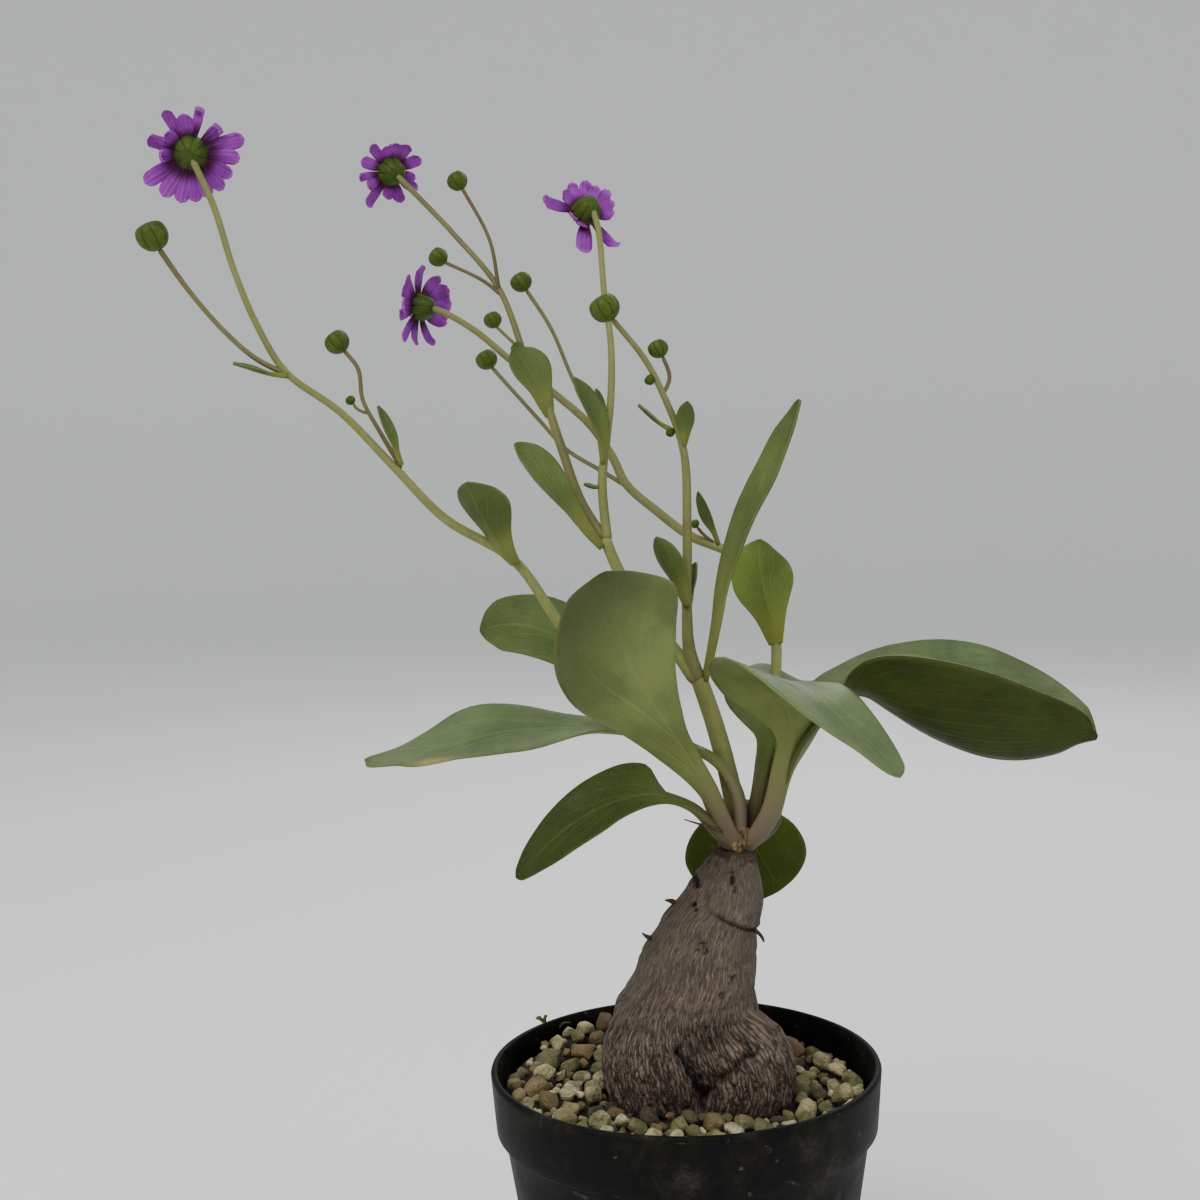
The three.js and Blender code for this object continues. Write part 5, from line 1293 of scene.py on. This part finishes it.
blooms = {
    "leftBloom": {
        "node": "bloom_left", "foot": (-118, -19, 330.5), "look": (-0.15, 0.95, 0.25),
        "rays": [(118, 12.5, 2.6, 20, 40), (95, 10, 3.6, 40, 0), (73, 13.5, 2.2, -10, 150), (39, 12, 2.8, 30, 120),
                 (15, 14, 3.6, 20, 10), (-5, 12.5, 3.4, 25, 20), (-29, 11.8, 3, 30, 20), (-50, 12, 3, 35, 10),
                 (-72, 11.5, 3.4, 30, 0), (-90, 12, 3.4, 25, 0), (-108, 12.6, 3.6, 20, 0), (-128, 13, 3.6, 25, 0),
                 (-150, 14, 3.6, 30, 10), (-176, 9.5, 2.8, 60, 80), (162, 12.2, 3, 30, 60), (140, 9, 3, 50, 60)],
    },
    "backBloom": {
        "node": "bloom_back", "foot": (-76.2, 59.5, 338.5), "look": (-0.4, 0.85, 0.3),
        "rays": [(126, 10.4, 2.8, 15, 20), (162, 10.3, 3.2, 20, 10), (-167, 11.6, 2.2, 20, 60), (-128, 13, 2.6, 15, 30),
                 (-148, 10, 2.6, 30, 60), (-105, 8.6, 2.8, 35, 30), (-78, 9.6, 3.2, 30, 20), (-35, 9.5, 3, 40, 10),
                 (-12, 7.6, 2.8, 40, 10), (26, 10, 3.2, 20, 20), (57, 10, 3.4, 25, 40), (78, 9.6, 3.4, 25, 60),
                 (102, 8.4, 3, 35, 20)],
    },
    "topBloom": {
        "node": "bloom_top", "foot": (-19, 32, 324), "look": (-0.35, 0.75, -0.5),
        "rays": [(163, 13.2, 3.8, 10, 20), (140, 9, 3.2, 30, 20), (116, 10.4, 3.4, 20, 10), (88, 11.8, 3.4, 15, 10),
                 (68, 10.6, 3, 25, 10), (46, 12.4, 3.2, 15, 10), (20, 10, 3.2, 25, 20), (-8, 8.5, 3, 40, 20),
                 (-50, 14.2, 3.2, 10, 30), (-92, 14, 4.2, 5, 0), (-108, 8.2, 2.8, 50, 20), (-150, 7.5, 3, 50, 40)],
    },
    "lowBloom": {
        "node": "bloom_low", "foot": (-68.5, 72, 300.5), "look": (-0.88, 0.45, 0.08),
        "rays": [(88, 13, 3.6, 25, 10), (70, 12.5, 3.4, 45, 10), (48, 13.6, 5.4, 50, 0), (20, 13.6, 5, 50, 0),
                 (-15, 12.5, 3.4, 60, 10), (-45, 12, 3.4, 55, 20), (-80, 13, 3.2, 30, 10), (-100, 12, 3, 20, 10),
                 (-112, 13.2, 2.8, 10, 0), (-146, 12, 3, 10, 20), (-170, 11, 3.2, 10, 60), (168, 11, 3, 15, 40),
                 (130, 12, 3, 15, 20), (108, 12, 3.2, 15, 10)],
    },
}


def addRay(bm, seat, look, ray):
    angle, length, width, bend, curl = ray
    seen = Vector((math.cos(math.radians(angle)), 0, math.sin(math.radians(angle))))
    out = (seen - Vector((0, 1, 0)) * seen.dot(look) / look.y).normalized()
    back = -look
    side = back.cross(out)
    steps = 16
    place, line = Vector((1.7, 0)), []
    for i in range(steps + 1):
        line.append(place.copy())
        t = i / steps
        slope = math.radians(bend * t + curl * smoothstep(t, 0.7, 1.0) * 1.5 - 8)
        place += Vector((math.cos(slope), math.sin(slope))) * (length - 1.7) / steps
    for v in twoSkins(bm, 12, steps):
        x, t, face = v.co.x * 2, v.co.y + 0.5, 1 if v.co.z > -0.0005 else -1
        spot = line[round(t * steps)]
        half = 0.56 * width * mix(0.42, 1, smoothstep(t, 0, 0.6)) * (1 - 0.1 * smoothstep(t, 0.85, 1) * x * x)
        notch = t ** 6 * (0.14 * max(math.cos(3 * math.pi * x + math.pi), 0) + 0.34 * width * x * x)
        cup = 0.09 * math.cos(3 * math.pi * x) - 0.45 * x * x * (1 - 0.5 * t)
        v.co = seat + out * (spot.x - notch) + back * (spot.y + cup + face * 0.14) + side * (x * half)


def makeBloom(name, bloom):
    bm = newShape()
    look = Vector(bloom["look"]).normalized()
    seat = Vector(bloom["foot"]) + look * 3.7
    for ray in bloom["rays"]:
        addRay(bm, seat, look, ray)
    pick = random.Random(len(name) + len(bloom["rays"]))
    disc = bmesh.ops.create_uvsphere(bm, u_segments=24, v_segments=12, radius=3.7)["verts"]
    bmesh.ops.scale(bm, vec=(1, 1, 0.42), verts=disc)
    bmesh.ops.translate(bm, vec=(0, 0, 1.6), verts=disc)
    tone = bm.verts.layers.float["tone"]
    florets = []
    for i in range(46):
        turn, reach = i * 2.4, 3.4 * math.sqrt((i + 0.5) / 46)
        floret = bmesh.ops.create_cone(bm, cap_ends=True, segments=6, radius1=0.3, radius2=0.36,
                                       depth=pick.uniform(1.4, 2.2))["verts"]
        bmesh.ops.translate(bm, vec=(reach * math.cos(turn), reach * math.sin(turn), 2.9 - 0.09 * reach ** 2),
                            verts=floret)
        for v in floret:
            v[tone] = smoothstep(reach, 2.2, 3.4)
        florets += floret
    aim(disc + florets, bm, Vector(bloom["foot"]) + look * 3.4, look)
    paint(bm, disc + florets, 1)
    piece = finishPiece(bm, name, [bloom["node"]], petalPurple)
    piece.data.materials.append(discFlorets)


cupsOf = {"leftStem": ["leftBloom"], "centreStem": ["backBloom", "topBloom"], "rightStem": ["lowBloom"]}
for name, node, stem in (("leftStem", "stem_left", leftStem), ("centreStem", "stem_centre", centreStem),
                         ("rightStem", "stem_right", rightStem)):
    makeStem(name, node, stem, [(blooms[b]["foot"], blooms[b]["look"]) for b in cupsOf[name]])
for name, bloom in blooms.items():
    makeBloom(name, bloom)


# ---- crown: tan wool and dry scales where stalks and stems leave the caudex

crownShape = {
    "centre": (15.4, -0.3, 150.6), "radii": (4.7, 4.5, 4.4),
    "scales": [(-165, 1.6, 4), (-140, 2, 5), (-112, 1.5, 5.5), (-92, 2.1, 4.4), (-70, 1.5, 5.6), (-45, 2, 4.6),
               (-15, 1.8, 5), (20, 2, 5), (60, 2.2, 5.5), (100, 2, 5), (140, 2, 5.5), (175, 1.8, 4.6)],
}


def makeCrown(shape):
    bm = newShape()
    centre = Vector(shape["centre"])
    dark = bm.verts.layers.float["dark"]

    def place(u, v):
        turn, rise = 2 * math.pi * u, math.pi * (v - 0.5)
        flat = math.cos(rise) if 0 < v < 1 else 0
        out = Vector((math.cos(turn) * flat * shape["radii"][0], math.sin(turn) * flat * shape["radii"][1],
                      math.sin(rise) * shape["radii"][2]))
        lump = 1 + 0.1 * math.cos(5 * turn + 7 * v) + 0.16 * noise.noise(out * 0.45) + 0.08 * noise.noise(out * 1.4)
        return centre + out * lump

    for v in wrapGrid(bm, 72, 48, place):
        v[dark] = 0.75 * smoothstep(v.co.z + 3 * noise.noise(v.co * 0.4), 148, 145)
    for angle, half, tall in shape["scales"]:
        turn = math.radians(angle)
        out = Vector((math.cos(turn), math.sin(turn), 0))
        foot = centre + out * 3.9 + Vector((0, 0, -1.6))
        rib = [foot, foot + out * 0.7 + Vector((0, 0, tall * 0.5)), foot + out * 0.5 + Vector((0, 0, tall))]
        addBract(bm, rib, -out + Vector((0, 0, 0.3)), half, {"widest": 0.35, "fold": 30}, thick=0.4)
    for face in bm.faces:
        face.material_index = 0
    return finishPiece(bm, "crownWool", ["crown"], crownScales)


makeCrown(crownShape)


# ---- small things: dry spurs on the caudex, a dry spike on the crown, seedlings

def makeSpurs():
    bm = newShape()
    for points, radii in (
        ([(-1.5, -1, 133.6), (-3.2, -1.5, 134.4), (-4.6, -1.8, 134.6)], [0.9, 0.6, 0.25]),
        ([(-8.2, -1, 124), (-9.8, -1.6, 125), (-10.8, -1.8, 126)], [0.9, 0.55, 0.2]),
        ([(17.6, -5.5, 128), (19.3, -6.6, 127), (20.8, -7, 125.4), (21.4, -7, 123.8)], [0.8, 0.6, 0.45, 0.3]),
        ([(12.5, -5.5, 153.2), (7, -9, 155.8), (0.6, -11, 158.4)], [0.55, 0.35, 0.18]),
        ([(17.6, -3, 145.4), (19.4, -4.2, 146.2), (20, -4.6, 147.6)], [0.7, 0.5, 0.25]),
        ([(10.8, -2.6, 147.4), (9.2, -3.8, 148.6), (8.4, -4.2, 150.2)], [0.9, 0.7, 0.35]),
    ):
        addTube(bm, points, radii, sides=10, perMm=2.5, rough=0.12)
    return finishPiece(bm, "drySpurs", [], dryWood)


def makeSeedlings():
    bm = newShape()
    for points, radii in (
        ([(-38, 38, 83), (-38.3, 38, 86.5), (-39.5, 37, 89.5)], [0.5, 0.4, 0.3]),
        ([(-37, 38.5, 83), (-37, 38, 87), (-36.6, 37.6, 89.8)], [0.45, 0.4, 0.5]),
        ([(-35.5, 37.5, 83), (-35, 37, 87), (-33.6, 36.5, 88.8), (-31.2, 36, 89)], [0.45, 0.4, 0.35, 0.2]),
    ):
        addTube(bm, points, radii, sides=8, perMm=1.5)
    addBract(bm, [(-39.4, 37, 89.3), (-40.4, 36, 90.4), (-41.6, 35.4, 91)], (0, -0.5, 0.8), 0.8)
    addBract(bm, [(-39.4, 37, 89.3), (-39, 36, 90.8), (-38.4, 35.4, 91.6)], (0, -0.5, 0.8), 0.6)
    for face in bm.faces:
        face.material_index = 0
    return finishPiece(bm, "gravelSeedlings", [], bractLeaf)


makeSpurs()
makeSeedlings()


# ---- floor and light

def makeFloor():  # pale floor that sweeps up all round
    material, tree, shader = startMaterial("paleFloor", 0.8)
    shader.inputs["Base Color"].default_value = rgb(238, 239, 239)
    shader.inputs["Specular IOR Level"].default_value = 0.1
    bm = bmesh.new()
    profile = smoothPath([(0, 0, 0), (0.8, 0, 0), (1.8, 0, 0), (2.4, 0, 0.08), (2.8, 0, 0.34), (3, 0, 0.8), (3.1, 0, 1.4)])[0]
    verts = [bm.verts.new(spot) for spot in profile]
    edges = [bm.edges.new(pair) for pair in zip(verts, verts[1:])]
    bmesh.ops.spin(bm, geom=verts + edges, cent=(0, 0, 0), axis=(0, 0, 1), angle=2 * math.pi, steps=96, use_merge=True)
    bmesh.ops.remove_doubles(bm, verts=bm.verts, dist=0.0001)
    bmesh.ops.recalc_face_normals(bm, faces=bm.faces)
    for face in bm.faces:
        face.smooth = True
    mesh = bpy.data.meshes.new("floor")
    bm.to_mesh(mesh)
    bm.free()
    mesh.materials.append(material)
    floor = bpy.data.objects.new("floor", mesh)
    bpy.context.scene.collection.objects.link(floor)


def makeLight(name, spot, size, power, colour=(1, 1, 1)):
    data = bpy.data.lights.new(name, "AREA")
    data.shape = "DISK"
    data.size = size
    data.energy = power
    data.color = colour
    light = bpy.data.objects.new(name, data)
    way = Vector((0, 0, 0.17)) - Vector(spot)
    light.matrix_world = Matrix.Translation(spot) @ way.to_track_quat("-Z", "Y").to_matrix().to_4x4()
    bpy.context.scene.collection.objects.link(light)


makeFloor()
makeLight("softKey", (-0.55, -0.8, 1.25), 1.0, 20, (1, 0.985, 0.96))
makeLight("softFill", (1.0, -0.6, 0.7), 1.0, 6, (0.96, 0.98, 1))
makeLight("softBack", (0.3, 1.1, 1.0), 0.9, 7)
world = bpy.data.worlds.new("paleRoom")
world.use_nodes = True
world.node_tree.nodes["Background"].inputs["Color"].default_value = rgb(216, 217, 218)
world.node_tree.nodes["Background"].inputs["Strength"].default_value = 0.75
bpy.context.scene.world = world

print("scene ready")
